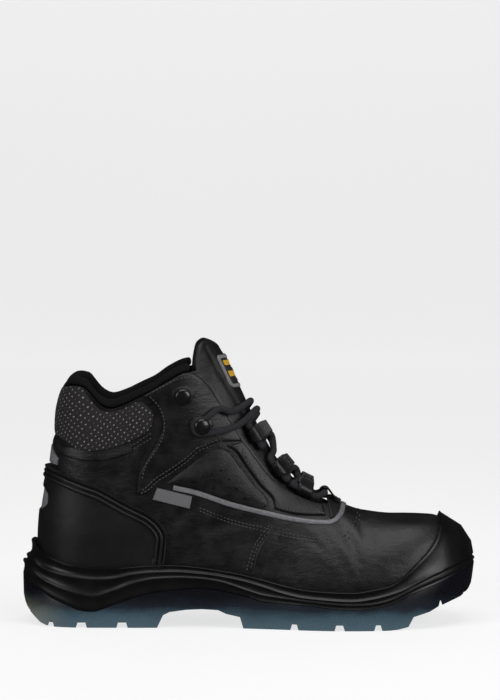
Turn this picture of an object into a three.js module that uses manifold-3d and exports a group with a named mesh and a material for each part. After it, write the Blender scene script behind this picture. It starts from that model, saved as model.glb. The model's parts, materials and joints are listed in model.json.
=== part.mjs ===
// A mid-cut lace-up safety boot for the right foot, standing on its sole.
// Millimetres. +X points to the toe, +Y to the inner (medial) side, +Z up; the floor is z = 0.
import * as THREE from "three";
import { mergeVertices } from "three/addons/utils/BufferGeometryUtils.js";
import Module from "manifold-3d";

const wasm = await Module();
wasm.setup();

// Last and upper
const LAST_LENGTH = 284;
const BALL_WIDTH = 98;
const HEEL_WIDTH = 69;
const TOE_HEIGHT = 43;
const SHAFT_HEIGHT = 90;
const UPPER_WALL = 2.2;
const THROAT_WIDTH = 50;
const HEEL_TURN = 38;
const TOE_TURN = 68;

// Sole
const BED_HEIGHT = 28;
const BACK_MARGIN = 12;
const SIDE_MARGIN = 6;
const TOE_MARGIN = 5;
const RIM_WALL = 3;
const OUTSOLE_WALL = 3.2;
const LUG_DEPTH = 3.8;
const CHANNEL_WIDTH = 4;
const CHANNEL_OFFSET = 17;
const INSOLE_THICKNESS = 4;
const INSOLE_MARGIN = 1.2;

// What is sewn or moulded onto the upper
const LEATHER = 1.6;
const COUNTER_WALL = 2;
const COUNTER_RIB = 1.8;
const RIB_WIDTH = 2;
const RIB_PITCH = 3.1;
const CUFF_PAD = 3;
const LINING_DEPTH = 28;
const LINING_PAD = 6;
const PIPING_WIDTH = 3.2;
const TAPE = 1;
const TONGUE_PAD = 5;
const TONGUE_WIDTH = 66;
const WINDOW_WIDTH = 38;
const WINDOW_HEIGHT = 15;

// Lacing
const LACE = 4.5;
const STRAP = 1.3;
const LOOP_LENGTH = 11;
const HOOK_CAP = 11;
const HOOK_STEM = 3.6;

// Clearance between neighbouring pieces
const GAP = 0.3;

const TIP_BULGE = 0.065;
const SOLE_LENGTH = LAST_LENGTH + BACK_MARGIN + TOE_MARGIN + TIP_BULGE * HEEL_WIDTH;
const HEEL_BACK = BACK_MARGIN - SOLE_LENGTH / 2;
const UPPER_HEIGHT = TOE_HEIGHT + SHAFT_HEIGHT;
const TOE_TOP = BED_HEIGHT + TOE_HEIGHT;
const QUARTER_TURN = Math.PI / 2;

// Rows of a table with named columns; the first column is the place that the others are read at.
const table = (names, ...rows) =>
  rows.map((row) => Object.fromEntries(names.map((name, i) => [name, row[i]])));

// A smooth curve through one column of a table that never overshoots between two rows.
function curve(rows, column) {
  const place = Object.keys(rows[0])[0];
  const at = rows.map((r) => r[place]);
  const value = rows.map((r) => r[column]);
  const last = rows.length - 1;
  const slope = at.slice(1).map((x, i) => (value[i + 1] - value[i]) / (x - at[i]));
  const tangent = at.map((_, i) => {
    if (i === 0) return slope[0];
    if (i === last) return slope[last - 1];
    if (slope[i - 1] * slope[i] <= 0) return 0;
    return 2 / (1 / slope[i - 1] + 1 / slope[i]);
  });
  return (x) => {
    if (x <= at[0]) return value[0];
    if (x >= at[last]) return value[last];
    const i = at.findIndex((a) => a > x) - 1;
    const width = at[i + 1] - at[i];
    const t = (x - at[i]) / width;
    const back = 1 - t;
    return (
      value[i] * back * back * (1 + 2 * t) +
      value[i + 1] * t * t * (3 - 2 * t) +
      width * t * back * (tangent[i] * back - tangent[i + 1] * t)
    );
  };
}

// Throughout, "along" is a share of the last's length from the back of the heel.
// The last seen from above: half width, middle line and crest line as shares of the ball width.
const PLAN = table(
  ["along", "half", "axis", "crest"],
  [0.0, 0.352, 0.0, 0.0],
  [0.14, 0.352, 0.0, 0.0],
  [0.23, 0.349, -0.006, 0.0],
  [0.33, 0.334, -0.015, -0.005],
  [0.44, 0.344, -0.022, -0.006],
  [0.545, 0.394, -0.028, -0.004],
  [0.65, 0.464, -0.03, 0.0],
  [0.72, 0.495, -0.022, 0.006],
  [0.79, 0.5, -0.008, 0.014],
  [0.86, 0.49, 0.006, 0.022],
  [0.93, 0.474, 0.022, 0.028],
  [1.0, 0.44, 0.046, 0.03],
);

// Crest of the instep above the toe, as a share of the shaft height, and how square each section is.
const CREST = table(
  ["along", "climb", "square"],
  [0.133, 12.5, 2.2],
  [0.246, 7.0, 2.2],
  [0.333, 3.16, 2.2],
  [0.386, 1.8, 2.15],
  [0.414, 1.42, 2.1],
  [0.449, 1.18, 2.0],
  [0.491, 0.9, 1.9],
  [0.533, 0.64, 1.85],
  [0.579, 0.405, 1.8],
  [0.632, 0.235, 1.85],
  [0.684, 0.14, 1.9],
  [0.737, 0.068, 2.05],
  [0.789, 0.02, 2.2],
  [0.842, 0.0, 2.3],
  [0.93, 0.0, 2.4],
  [1.0, -0.06, 2.4],
);
const TIP_SQUARE = 4.6;

// Height of the upper's lower edge above the floor, as a share of the bed height under the heel.
const BED = table(
  ["along", "level"],
  [0.0, 1.0],
  [0.2, 1.0],
  [0.35, 0.98],
  [0.45, 0.89],
  [0.55, 0.73],
  [0.65, 0.61],
  [0.75, 0.59],
  [0.85, 0.7],
  [0.93, 0.86],
  [1.0, 1.04],
);

// How far the wall stands out from the lower edge at each height, as shares of the heel width.
const LEAN = table(
  ["height", "back", "heel", "ankle", "fore", "tip"],
  [0.0, 0.0, 0.0, 0.0, 0.0, 0.0],
  [0.06, 0.008, 0.015, 0.012, 0.02, 0.045],
  [0.12, 0.01, 0.025, 0.02, 0.03, TIP_BULGE],
  [0.24, 0.005, 0.02, 0.015, 0.02, TIP_BULGE],
  [0.35, -0.01, 0.0, 0.0, 0.0, 0.05],
  [0.47, -0.046, -0.025, 0.0, 0.0, 0.0],
  [0.58, -0.09, -0.04, 0.01, 0.0, 0.0],
  [0.69, -0.12, -0.045, 0.03, 0.0, 0.0],
  [0.8, -0.177, -0.035, 0.05, 0.0, 0.0],
  [0.9, -0.215, -0.02, 0.06, 0.0, 0.0],
  [1.0, -0.25, -0.01, 0.065, 0.0, 0.0],
  [1.3, -0.3, 0.0, 0.07, 0.0, 0.0],
);
const ANKLE_AT = 0.32;
const FORE_AT = 0.53;

// Top edge of the collar above the toe, as a share of the shaft height.
const TOPLINE = table(
  ["along", "level"],
  [0.0, 0.933],
  [0.025, 0.967],
  [0.07, 1.005],
  [0.105, 0.99],
  [0.126, 0.933],
  [0.147, 0.861],
  [0.168, 0.833],
  [0.2, 0.863],
  [0.235, 0.916],
  [0.27, 0.967],
  [0.305, 1.041],
  [0.345, 1.1],
  [0.375, 1.117],
);
const THROAT_TOP = 0.36;
const THROAT_END = 0.705;
const THROAT_TAPER = 0.85;
const COLLAR_END = 0.345;

// Lines round the sole: the lip above the bed as a share of the toe height, the parting of midsole and
// outsole as a share of the bed height, and the two ribs between them as shares of the way up.
const LINES = table(
  ["along", "lip", "rib", "wave", "parting"],
  [-0.043, 0.581, 0.648, 0.452, 1.143],
  [-0.02, 0.633, 0.617, 0.348, 0.946],
  [0.004, 0.488, 0.623, 0.325, 0.85],
  [0.03, 0.407, 0.681, 0.365, 0.696],
  [0.066, 0.33, 0.732, 0.372, 0.546],
  [0.1, 0.293, 0.752, 0.379, 0.414],
  [0.126, 0.277, 0.747, 0.349, 0.393],
  [0.174, 0.267, 0.74, 0.397, 0.546],
  [0.22, 0.293, 0.78, 0.488, 0.711],
  [0.27, 0.32, 0.77, 0.511, 0.857],
  [0.32, 0.326, 0.76, 0.506, 0.911],
  [0.375, 0.31, 0.739, 0.478, 0.95],
  [0.42, 0.298, 0.742, 0.46, 0.914],
  [0.49, 0.279, 0.729, 0.329, 0.764],
  [0.53, 0.263, 0.7, 0.31, 0.657],
  [0.57, 0.233, 0.6, 0.29, 0.629],
  [0.63, 0.212, 0.5, 0.257, 0.593],
  [0.735, 0.202, 0.5, 0.24, 0.514],
  [0.783, 0.23, 0.525, 0.22, 0.536],
  [0.825, 0.251, 0.565, 0.24, 0.614],
  [0.855, 0.342, 0.423, 0.2, 0.75],
  [0.89, 0.505, 0.337, 0.16, 0.907],
  [0.93, 0.73, 0.286, 0.13, 1.046],
  [0.95, 1.0, 0.195, 0.085, 1.12],
  [0.96, 1.7, 0.115, 0.05, 1.155],
  [1.03, 1.7, 0.104, 0.046, 1.41],
);

// The tread's underside and the floor inside the outsole, as shares of the bed height.
const TREAD = table(
  ["along", "ground"],
  [-0.06, 1.0],
  [-0.043, 0.714],
  [-0.036, 0.5],
  [-0.027, 0.34],
  [-0.012, 0.2],
  [0.002, 0.08],
  [0.016, 0.025],
  [0.035, 0.0],
  [0.279, 0.0],
  [0.293, 0.3],
  [0.308, 0.375],
  [0.346, 0.43],
  [0.384, 0.45],
  [0.4225, 0.43],
  [0.4416, 0.34],
  [0.474, 0.27],
  [0.482, 0.0],
  [0.824, 0.0],
  [0.845, 0.018],
  [0.869, 0.07],
  [0.881, 0.3],
  [0.9195, 0.4],
  [0.9386, 0.5],
  [0.977, 0.625],
  [0.996, 0.68],
  [1.015, 0.8],
  [1.0246, 0.93],
  [1.029, 1.14],
  [1.07, 2.2],
);
const FLOOR = table(
  ["along", "level"],
  [-0.05, 0.52],
  [-0.03, 0.46],
  [0.0, 0.33],
  [0.05, 0.27],
  [0.25, 0.27],
  [0.28, 0.4],
  [0.31, 0.56],
  [0.4, 0.6],
  [0.45, 0.5],
  [0.48, 0.36],
  [0.52, 0.27],
  [0.83, 0.27],
  [0.88, 0.45],
  [0.92, 0.56],
  [0.96, 0.72],
  [1.0, 0.85],
  [1.03, 1.07],
);
const GROOVES = table(
  ["from", "to"],
  [0.021, 0.036],
  [0.088, 0.114],
  [0.1835, 0.21],
  [0.592, 0.611],
  [0.695, 0.719],
  [0.788, 0.807],
  [0.941, 0.95],
);
const GROOVE_TAPER = 0.004;
const CHANNEL_ROOF = 2;
const MIDDLE_SHIFT = 0.03;

// Outlines of the overlays seen from the side: level is the height above the bed as a share of the
// upper's height.
const COUNTER_EDGE = table(
  ["along", "level"],
  [-0.06, 0.588],
  [0.014, 0.588],
  [0.045, 0.573],
  [0.126, 0.506],
  [0.212, 0.414],
  [0.265, 0.355],
  [0.291, 0.302],
  [0.303, 0.25],
  [0.301, 0.158],
  [0.297, 0.09],
);
const STRIP = table(
  ["along", "level"],
  [-0.06, 0.69],
  [0.02, 0.69],
  [0.034, 0.66],
  [0.045, 0.63],
  [0.043, 0.595],
  [0.014, 0.603],
  [-0.06, 0.603],
);
const CUFF = table(
  ["along", "level"],
  [-0.06, 0.97],
  [0.045, 0.972],
  [0.078, 1.0],
  [0.1, 1.0],
  [0.118, 0.95],
  [0.145, 0.885],
  [0.17, 0.872],
  [0.2, 0.89],
  [0.235, 0.925],
  [0.255, 0.91],
  [0.271, 0.86],
  [0.262, 0.79],
  [0.212, 0.721],
  [0.155, 0.68],
  [0.097, 0.68],
  [0.059, 0.726],
  [0.03, 0.75],
  [-0.06, 0.755],
);
const QUARTER = table(
  ["along", "level"],
  [0.246, 0.957],
  [0.29, 1.01],
  [0.315, 1.04],
  [0.344, 1.07],
  [0.365, 1.065],
  [0.45, 1.1],
  [0.48, 0.75],
  [0.427, 0.716],
  [0.372, 0.67],
  [0.344, 0.624],
  [0.305, 0.563],
  [0.274, 0.525],
  [0.25, 0.46],
  [0.231, 0.46],
  [0.236, 0.552],
  [0.255, 0.634],
  [0.279, 0.721],
  [0.293, 0.798],
  [0.284, 0.88],
  [0.262, 0.935],
);
const EYESTAY = table(
  ["along", "level"],
  [0.442, 0.7],
  [0.48, 0.732],
  [0.56, 0.74],
  [0.655, 0.5],
  [0.668, 0.42],
  [0.676, 0.343],
  [0.604, 0.352],
  [0.556, 0.38],
  [0.553, 0.42],
  [0.52, 0.501],
  [0.486, 0.6],
  [0.462, 0.672],
);
const PANEL = table(
  ["along", "level"],
  [0.3, 0.511],
  [0.32, 0.548],
  [0.353, 0.598],
  [0.382, 0.645],
  [0.424, 0.688],
  [0.448, 0.668],
  [0.475, 0.593],
  [0.506, 0.506],
  [0.535, 0.44],
  [0.54, 0.4],
  [0.523, 0.385],
  [0.494, 0.399],
  [0.427, 0.443],
  [0.365, 0.489],
  [0.322, 0.508],
);
const PIPING = table(
  ["along", "level"],
  [0.317, 0.492],
  [0.372, 0.465],
  [0.449, 0.409],
  [0.54, 0.36],
  [0.602, 0.33],
  [0.661, 0.314],
  [0.692, 0.317],
  [0.712, 0.348],
  [0.722, 0.399],
  [0.726, 0.46],
);
const TAG = table(
  ["along", "level"],
  [0.279, 0.492],
  [0.362, 0.448],
  [0.356, 0.385],
  [0.268, 0.432],
);
const TONGUE_TOP = table(
  ["along", "level"],
  [0.7, 0.0],
  [0.36, 0.6],
  [0.36, 1.064],
  [0.365, 1.157],
  [0.379, 1.223],
  [0.394, 1.243],
  [0.408, 1.245],
  [0.425, 1.225],
  [0.444, 1.19],
  [0.5, 1.19],
  [0.76, 0.5],
  [0.76, 0.0],
);
const TONGUE_FRONT = 0.735;
const TONGUE_EDGE = 9;
const BADGE_WIDTH = 30;
const BADGE = { from: 0.42, low: 0.98, high: 1.16 };

// Places of the hooks (along, level) and of the lace loops (along) up the throat's edge.
const HOOKS = table(["along", "level"], [0.336, 0.952], [0.378, 0.8]);
const LOOPS = table(["along"], [0.505], [0.561], [0.622]);
const BOTTOM_LOOP = 0.672;
const LOOP_INSET = 5;
const TOP_BAR = 0.497;
const HOOK_CROSSING = 0.512;
const CROSSING_SHIFT = 0.012;
const STRAND_HIGH = table(["along", "level"], [0.402, 0.868], [0.42, 0.882]);
const STRAND_LOW = table(["along", "level"], [0.404, 0.768], [0.43, 0.775]);
const HIGH_EDGE = 0.444;
const LOW_EDGE = 0.462;

// The middle of the outline's width lies on the X axis.
const INNER_EDGE = Math.max(...PLAN.map((p) => p.axis + p.half));
const OUTER_EDGE = Math.min(...PLAN.map((p) => p.axis - p.half));
const MIDDLE = (INNER_EDGE + OUTER_EDGE) / 2;
const planHalf = curve(PLAN, "half");
const axisOf = curve(PLAN, "axis");
const crestLineOf = curve(PLAN, "crest");
const planAxis = (along) => axisOf(along) - MIDDLE;
const planCrest = (along) => crestLineOf(along) - MIDDLE;
const crestClimb = curve(CREST, "climb");
const sectionSquare = curve(CREST, "square");
const bedLevel = curve(BED, "level");
const topLevel = curve(TOPLINE, "level");
const floorLevel = curve(FLOOR, "level");
const leanOf = Object.fromEntries(
  ["back", "heel", "ankle", "fore", "tip"].map((column) => [column, curve(LEAN, column)]),
);
const lineOf = Object.fromEntries(
  ["lip", "rib", "wave", "parting"].map((column) => [column, curve(LINES, column)]),
);

const mix = (a, b, t) => a + (b - a) * t;
const share = (a, b, x) => THREE.MathUtils.clamp((x - a) / (b - a), 0, 1);
const smooth = (a, b, x) => THREE.MathUtils.smoothstep(x, a, b);

const HEEL_CENTRE = HEEL_BACK + HEEL_TURN;
const TOE_CENTRE = HEEL_BACK + LAST_LENGTH - TOE_TURN;
const HEEL_ROUND = 2.2;
const TOE_ROUND = 2.3;
const alongOf = (x) => (x - HEEL_BACK) / LAST_LENGTH;
const xOf = (along) => HEEL_BACK + along * LAST_LENGTH;
const levelZ = (level) => BED_HEIGHT + level * UPPER_HEIGHT;
const bedAt = (along) => BED_HEIGHT * bedLevel(along);
const crestAt = (along) => TOE_TOP + SHAFT_HEIGHT * crestClimb(along);
const topAt = (along) => TOE_TOP + SHAFT_HEIGHT * topLevel(along);
const lipAt = (along) => bedAt(along) + TOE_HEIGHT * lineOf.lip(along);
const partingAt = (along) => BED_HEIGHT * lineOf.parting(along);
const ribAt = (along) => mix(partingAt(along), lipAt(along), lineOf.rib(along));
const waveAt = (along) => mix(partingAt(along), lipAt(along), lineOf.wave(along));
const floorAt = (along) => BED_HEIGHT * floorLevel(along);

// One station of the last: its lower edge seen from above and the crest point that its section leans to.
// t runs from 0 to 1 through the heel's turn, the side or the toe's turn.
function station(stretch, t, side) {
  const turn = stretch === "side" ? 0 : t * QUARTER_TURN;
  let x = mix(HEEL_CENTRE, TOE_CENTRE, t);
  let spread = 1;
  if (stretch === "heel") x = HEEL_CENTRE - HEEL_TURN * Math.sin(turn) ** (2 / HEEL_ROUND);
  if (stretch === "heel") spread = Math.cos(turn) ** (2 / HEEL_ROUND);
  if (stretch === "toe") x = TOE_CENTRE + TOE_TURN * Math.sin(turn) ** (2 / TOE_ROUND);
  if (stretch === "toe") spread = Math.cos(turn) ** (2 / TOE_ROUND);
  const tip = stretch !== "side" && t >= 1;
  if (tip) spread = 0;
  const along = alongOf(x);
  const edge = new THREE.Vector2(x, BALL_WIDTH * (planAxis(along) + side * planHalf(along) * spread));
  const crestX = THREE.MathUtils.clamp(x, HEEL_CENTRE, TOE_CENTRE);
  const crest = new THREE.Vector2(crestX, BALL_WIDTH * planCrest(alongOf(crestX)));
  const out = edge.clone().sub(crest);
  const reach = out.length();
  return { stretch, t, side, turn, tip, along, edge, crest, reach, out: out.normalize() };
}
const sideShare = (along) => (xOf(along) - HEEL_CENTRE) / (TOE_CENTRE - HEEL_CENTRE);
const stationAt = (along, side) => station("side", sideShare(along), side);

// How far the wall of a station stands out at a height above its lower edge.
function lean(s, height) {
  const h = height / UPPER_HEIGHT;
  const around = Math.sin(s.turn) ** 2;
  if (s.stretch === "heel") return HEEL_WIDTH * mix(leanOf.heel(h), leanOf.back(h), around);
  if (s.stretch === "toe") return HEEL_WIDTH * mix(leanOf.fore(h), leanOf.tip(h), around);
  const ankle = smooth(alongOf(HEEL_CENTRE), ANKLE_AT, s.along);
  const fore = smooth(ANKLE_AT, FORE_AT, s.along);
  return HEEL_WIDTH * mix(mix(leanOf.heel(h), leanOf.ankle(h), ankle), leanOf.fore(h), fore);
}

const tipSquare = (s) => (s.stretch === "toe" ? TIP_SQUARE * Math.sin(s.turn) ** 2 : 0);
const squareOf = (s) => sectionSquare(s.along) + tipSquare(s);

// A point of the last's surface: rise runs from 0 at the lower edge to a quarter turn at the crest.
function onLast(s, rise) {
  const power = 2 / squareOf(s);
  const inward = Math.max(0, Math.cos(rise)) ** power;
  const upward = Math.sin(rise) ** power;
  const bed = bedAt(s.along);
  const crest = crestAt(alongOf(s.crest.x));
  const reach = (s.reach + lean(s, (crest - bed) * upward)) * inward;
  const x = s.crest.x + s.out.x * reach;
  const y = s.crest.y + s.out.y * reach;
  const top = s.stretch === "toe" ? crestAt(alongOf(x)) : crest;
  return new THREE.Vector3(x, y, bed + (top - bed) * upward);
}

// The outward direction of the last's surface.
const NUDGE = 1e-3;
function normalAt(s, rise) {
  if (rise >= QUARTER_TURN - NUDGE) {
    const at = alongOf(s.crest.x);
    const slope = (crestAt(at + NUDGE) - crestAt(at - NUDGE)) / (2 * NUDGE * LAST_LENGTH);
    return new THREE.Vector3(-slope, 0, 1).normalize();
  }
  const low = Math.max(rise - NUDGE, 1e-5);
  const up = onLast(s, rise + NUDGE).sub(onLast(s, low));
  const t = s.stretch === "side" ? s.t : THREE.MathUtils.clamp(s.t, NUDGE, 1 - NUDGE);
  const forward = onLast(station(s.stretch, t + NUDGE, s.side), rise);
  forward.sub(onLast(station(s.stretch, t - NUDGE, s.side), rise));
  if (s.stretch === "heel") forward.negate();
  const normal = forward.cross(up).multiplyScalar(-s.side);
  if (s.tip) {
    const sideways = new THREE.Vector3(-s.out.y, s.out.x, 0);
    normal.addScaledVector(sideways, -normal.dot(sideways));
  }
  return normal.normalize();
}

// A point at a distance outside the last's surface.
const outside = (s, rise, distance) => onLast(s, rise).addScaledVector(normalAt(s, rise), distance);

// The smallest rise at which a rising test turns positive.
function riseWhere(test) {
  if (test(0) >= 0) return 0;
  if (test(QUARTER_TURN) < 0) return QUARTER_TURN;
  let low = 0;
  let high = QUARTER_TURN;
  for (let i = 0; i < 40; i++) {
    const middle = (low + high) / 2;
    if (test(middle) < 0) low = middle;
    else high = middle;
  }
  return high;
}
const riseAtHeight = (s, z) => riseWhere((rise) => onLast(s, rise).z - z);
const crestDistance = (s, rise) => {
  const p = onLast(s, rise);
  return Math.hypot(p.x - s.crest.x, p.y - s.crest.y);
};
const riseAtGap = (s, gap) => (gap <= 0 ? QUARTER_TURN : riseWhere((rise) => gap - crestDistance(s, rise)));

const throatGap = (along) => {
  const t = share(THROAT_TOP, THROAT_END, along);
  return (THROAT_WIDTH / 2) * mix(1, THROAT_TAPER, t) * Math.sqrt(1 - t ** 8);
};

// The rise of the upper's top edge: the collar at the shaft, the throat in front of it, the crest beyond.
function riseAtEdge(s) {
  if (s.stretch === "toe" || s.along >= THROAT_END - NUDGE) return QUARTER_TURN;
  return Math.min(riseAtHeight(s, topAt(s.along)), riseAtGap(s, throatGap(s.along)));
}

// Stations round the foot: from the back of the heel along one side to the tip of the toe.
const HEEL_STEPS = 5;
const BACK_STEPS = 11;
const FRONT_STEPS = 3;
const TOE_STEPS = 6;
function stationsOf(side) {
  const list = [];
  const throat = sideShare(THROAT_END);
  for (let i = HEEL_STEPS; i > 0; i--) list.push(station("heel", i / HEEL_STEPS, side));
  for (let i = 0; i < BACK_STEPS; i++) list.push(station("side", (throat * i) / BACK_STEPS, side));
  for (let i = 0; i < FRONT_STEPS; i++) list.push(station("side", mix(throat, 1, i / FRONT_STEPS), side));
  for (let i = 0; i <= TOE_STEPS; i++) list.push(station("toe", i / TOE_STEPS, side));
  return list;
}
const SIDES = [stationsOf(-1), stationsOf(1)];
const ROWS = 6;
const LID_ROWS = 2;

// Triangles collected into one closed solid.
class Skin {
  constructor() {
    this.corners = [];
  }
  // A sheet of columns and rows of points.
  sheet(grid, flip = false) {
    for (let i = 0; i + 1 < grid.length; i++)
      for (let j = 0; j + 1 < grid[i].length; j++) {
        const [a, b, c, d] = [grid[i][j], grid[i + 1][j], grid[i + 1][j + 1], grid[i][j + 1]];
        if (flip) this.corners.push(a, d, c, a, c, b);
        else this.corners.push(a, b, c, a, c, d);
      }
  }
  // Both sides of the foot, and the strips that close them below and above.
  body(columnsOf) {
    const grids = SIDES.map((stations) => stations.map(columnsOf));
    this.sheet(grids[0]);
    this.sheet(grids[1], true);
    const across = (row) => grids[0].map((column, i) => [column.at(row), grids[1][i].at(row)]);
    this.sheet(across(-1));
    this.sheet(across(0), true);
    return this.solid();
  }
  solid() {
    const positions = new Float32Array(this.corners.flatMap((p) => [p.x, p.y, p.z]));
    const geometry = new THREE.BufferGeometry();
    geometry.setAttribute("position", new THREE.BufferAttribute(positions, 3));
    return solidOf(geometry);
  }
}

// Corners that lie nearer than this are one corner.
const SEAM = 0.02;

// A closed geometry as a solid with its faces pointing out.
function solidOf(geometry) {
  const plain = new THREE.BufferGeometry();
  const source = geometry.index ? geometry.toNonIndexed() : geometry;
  plain.setAttribute("position", source.getAttribute("position").clone());
  const merged = mergeVertices(plain, SEAM);
  const index = merged.index.array;
  const kept = [];
  for (let i = 0; i < index.length; i += 3) {
    const [a, b, c] = index.slice(i, i + 3);
    if (a !== b && b !== c && c !== a) kept.push([a, b, c]);
  }
  const make = (triangles) => {
    const triVerts = new Uint32Array(triangles.flat());
    const vertProperties = new Float32Array(merged.attributes.position.array);
    return new wasm.Manifold(new wasm.Mesh({ numProp: 3, vertProperties, triVerts }));
  };
  const made = make(kept);
  return made.volume() >= 0 ? made : make(kept.map(([a, b, c]) => [a, c, b]));
}

function geometryOf(solid) {
  const { numVert, numProp, vertProperties, triVerts } = solid.getMesh();
  const positions = new Float32Array(numVert * 3);
  for (let i = 0; i < numVert; i++) {
    const first = i * numProp;
    positions.set(vertProperties.slice(first, first + 3), i * 3);
  }
  const geometry = new THREE.BufferGeometry();
  geometry.setAttribute("position", new THREE.BufferAttribute(positions, 3));
  geometry.setIndex(new THREE.BufferAttribute(new Uint32Array(triVerts), 1));
  geometry.computeVertexNormals();
  return geometry;
}

// A column of a station's surface at a distance outside the last, up to the upper's top edge.
function wallColumn(s, distance) {
  const edge = riseAtEdge(s);
  return Array.from({ length: ROWS + 1 }, (_, j) => outside(s, (edge * j) / ROWS, distance));
}

// The last as one closed solid, swollen by a distance, from below its lower edge up past the collar.
const LID = topAt(THROAT_TOP) + SHAFT_HEIGHT / 3;
const forms = new Map();
function lastForm(distance) {
  if (forms.has(distance)) return forms.get(distance);
  const form = new Skin().body((s) => {
    const column = wallColumn(s, distance);
    const edge = riseAtEdge(s);
    const lid = s.stretch === "toe" ? QUARTER_TURN : riseAtHeight(s, LID);
    for (let j = 1; j <= LID_ROWS; j++) column.push(outside(s, mix(edge, lid, j / LID_ROWS), distance));
    column[0].z -= Math.max(0, distance);
    return column;
  });
  forms.set(distance, form);
  return form;
}
const layer = (inner, outer) => lastForm(outer).subtract(lastForm(inner));

// A closed side-view outline, pushed across the foot from one y to another.
function across(points, from = -BALL_WIDTH, to = BALL_WIDTH) {
  const options = { depth: to - from, bevelEnabled: false };
  const geometry = new THREE.ExtrudeGeometry(new THREE.Shape(points), options);
  geometry.rotateX(QUARTER_TURN);
  geometry.translate(0, to, 0);
  return solidOf(geometry);
}
const sideView = (rows) => rows.map((row) => new THREE.Vector2(xOf(row.along), levelZ(row.level)));
const sideSpan = (side) => (side < 0 ? [-BALL_WIDTH, 0] : [0, BALL_WIDTH]);

// A side-view line moved sideways by a distance.
function beside(points, distance) {
  return points.map((p, i) => {
    const ahead = points[Math.min(i + 1, points.length - 1)];
    const behind = points[Math.max(i - 1, 0)];
    const run = ahead.clone().sub(behind).normalize();
    return new THREE.Vector2(p.x - run.y * distance, p.y + run.x * distance);
  });
}
const band = (points, width) => [...beside(points, width / 2), ...beside(points, -width / 2).reverse()];

// A point outside the last where it meets a line round the sole; below the bed it drops straight down.
function onLine(s, line, distance) {
  const gapTo = (rise) => {
    const p = outside(s, rise, distance);
    return p.z - line(alongOf(p.x));
  };
  const foot = outside(s, 0, distance);
  if (gapTo(0) >= 0) return foot.setZ(line(alongOf(foot.x)));
  return outside(s, riseWhere(gapTo), distance);
}
function marginOf(s) {
  const around = Math.sin(s.turn) ** 2;
  if (s.stretch === "heel") return mix(SIDE_MARGIN, BACK_MARGIN, around);
  if (s.stretch === "toe") return mix(SIDE_MARGIN, TOE_MARGIN, around);
  return SIDE_MARGIN;
}
// Where the lip stands out at the back of the heel.
const LIP_FLARE = 2.7;
const lipFlare = (s) => (s.stretch === "heel" ? LIP_FLARE * Math.sin(s.turn) ** 2 : 0);

// The midsole: a cup that holds the upper, with two ribs round its side, and the guard over the toe.
const GUARD_ROWS = 4;
const RIB_EDGE = 1.3;
const RIB_STEP = 0.9;
const lowered = (line, drop) => (along) => line(along) - drop;
function soleBlock(swell) {
  return new Skin().body((s) => {
    const edge = marginOf(s);
    const lip = RIM_WALL + lipFlare(s) + swell;
    const inset = edge - OUTSOLE_WALL - 2 * GAP;
    const rimRise = riseWhere((rise) => {
      const p = outside(s, rise, lip);
      return p.z - lipAt(alongOf(p.x)) - swell;
    });
    const ribRise = riseWhere((rise) => {
      const p = outside(s, rise, lip);
      return p.z - ribAt(alongOf(p.x)) - RIB_EDGE;
    });
    const wall = Array.from({ length: GUARD_ROWS + 1 }, (_, j) => {
      const bulge = (RIB_STEP / 2) * Math.sin((Math.PI * j) / GUARD_ROWS);
      return outside(s, mix(ribRise, rimRise, j / GUARD_ROWS), lip + bulge);
    });
    const parting = onLine(s, partingAt, edge);
    return [
      onLine(s, lowered(floorAt, -2 * GAP), inset),
      onLine(s, () => parting.z, inset),
      parting,
      onLine(s, lowered(waveAt, RIB_EDGE / 2), edge - RIB_STEP / 2),
      onLine(s, lowered(waveAt, -RIB_EDGE / 2), mix(lip, edge, 0.7)),
      onLine(s, ribAt, mix(lip, edge, 0.6)),
      ...wall,
    ];
  });
}
const midsole = () => soleBlock(0).subtract(lastForm(GAP));

// The ground line with its grooves, closed far below the floor.
function groundOutline(shift, deep) {
  const rows = TREAD.map((row) => [row.along, row.ground]);
  const ground = (along) => {
    const i = Math.max(1, rows.findIndex(([at]) => at >= along));
    return mix(rows[i - 1][1], rows[i][1], share(rows[i - 1][0], rows[i][0], along));
  };
  const inGroove = (along) => GROOVES.some((g) => along > g.from + shift && along < g.to + shift);
  const kept = rows.filter(([at]) => deep || !inGroove(at));
  const points = kept.map(([at, level]) => [at, level * BED_HEIGHT]);
  for (const groove of deep ? [] : GROOVES) {
    const [from, to] = [groove.from + shift, groove.to + shift];
    for (const at of [from, to]) points.push([at, ground(at) * BED_HEIGHT]);
    for (const at of [from + GROOVE_TAPER, to - GROOVE_TAPER]) {
      points.push([at, ground(at) * BED_HEIGHT + LUG_DEPTH]);
    }
  }
  points.sort((a, b) => a[0] - b[0]);
  const roof = (at, z) => (deep ? Math.max(z, Math.min(z + LUG_DEPTH, floorAt(at) - CHANNEL_ROOF)) : z);
  const top = points.map(([at, z]) => new THREE.Vector2(xOf(at), roof(at, z)));
  return [new THREE.Vector2(top[0].x, -BED_HEIGHT), ...top, new THREE.Vector2(top.at(-1).x, -BED_HEIGHT)];
}

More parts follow.
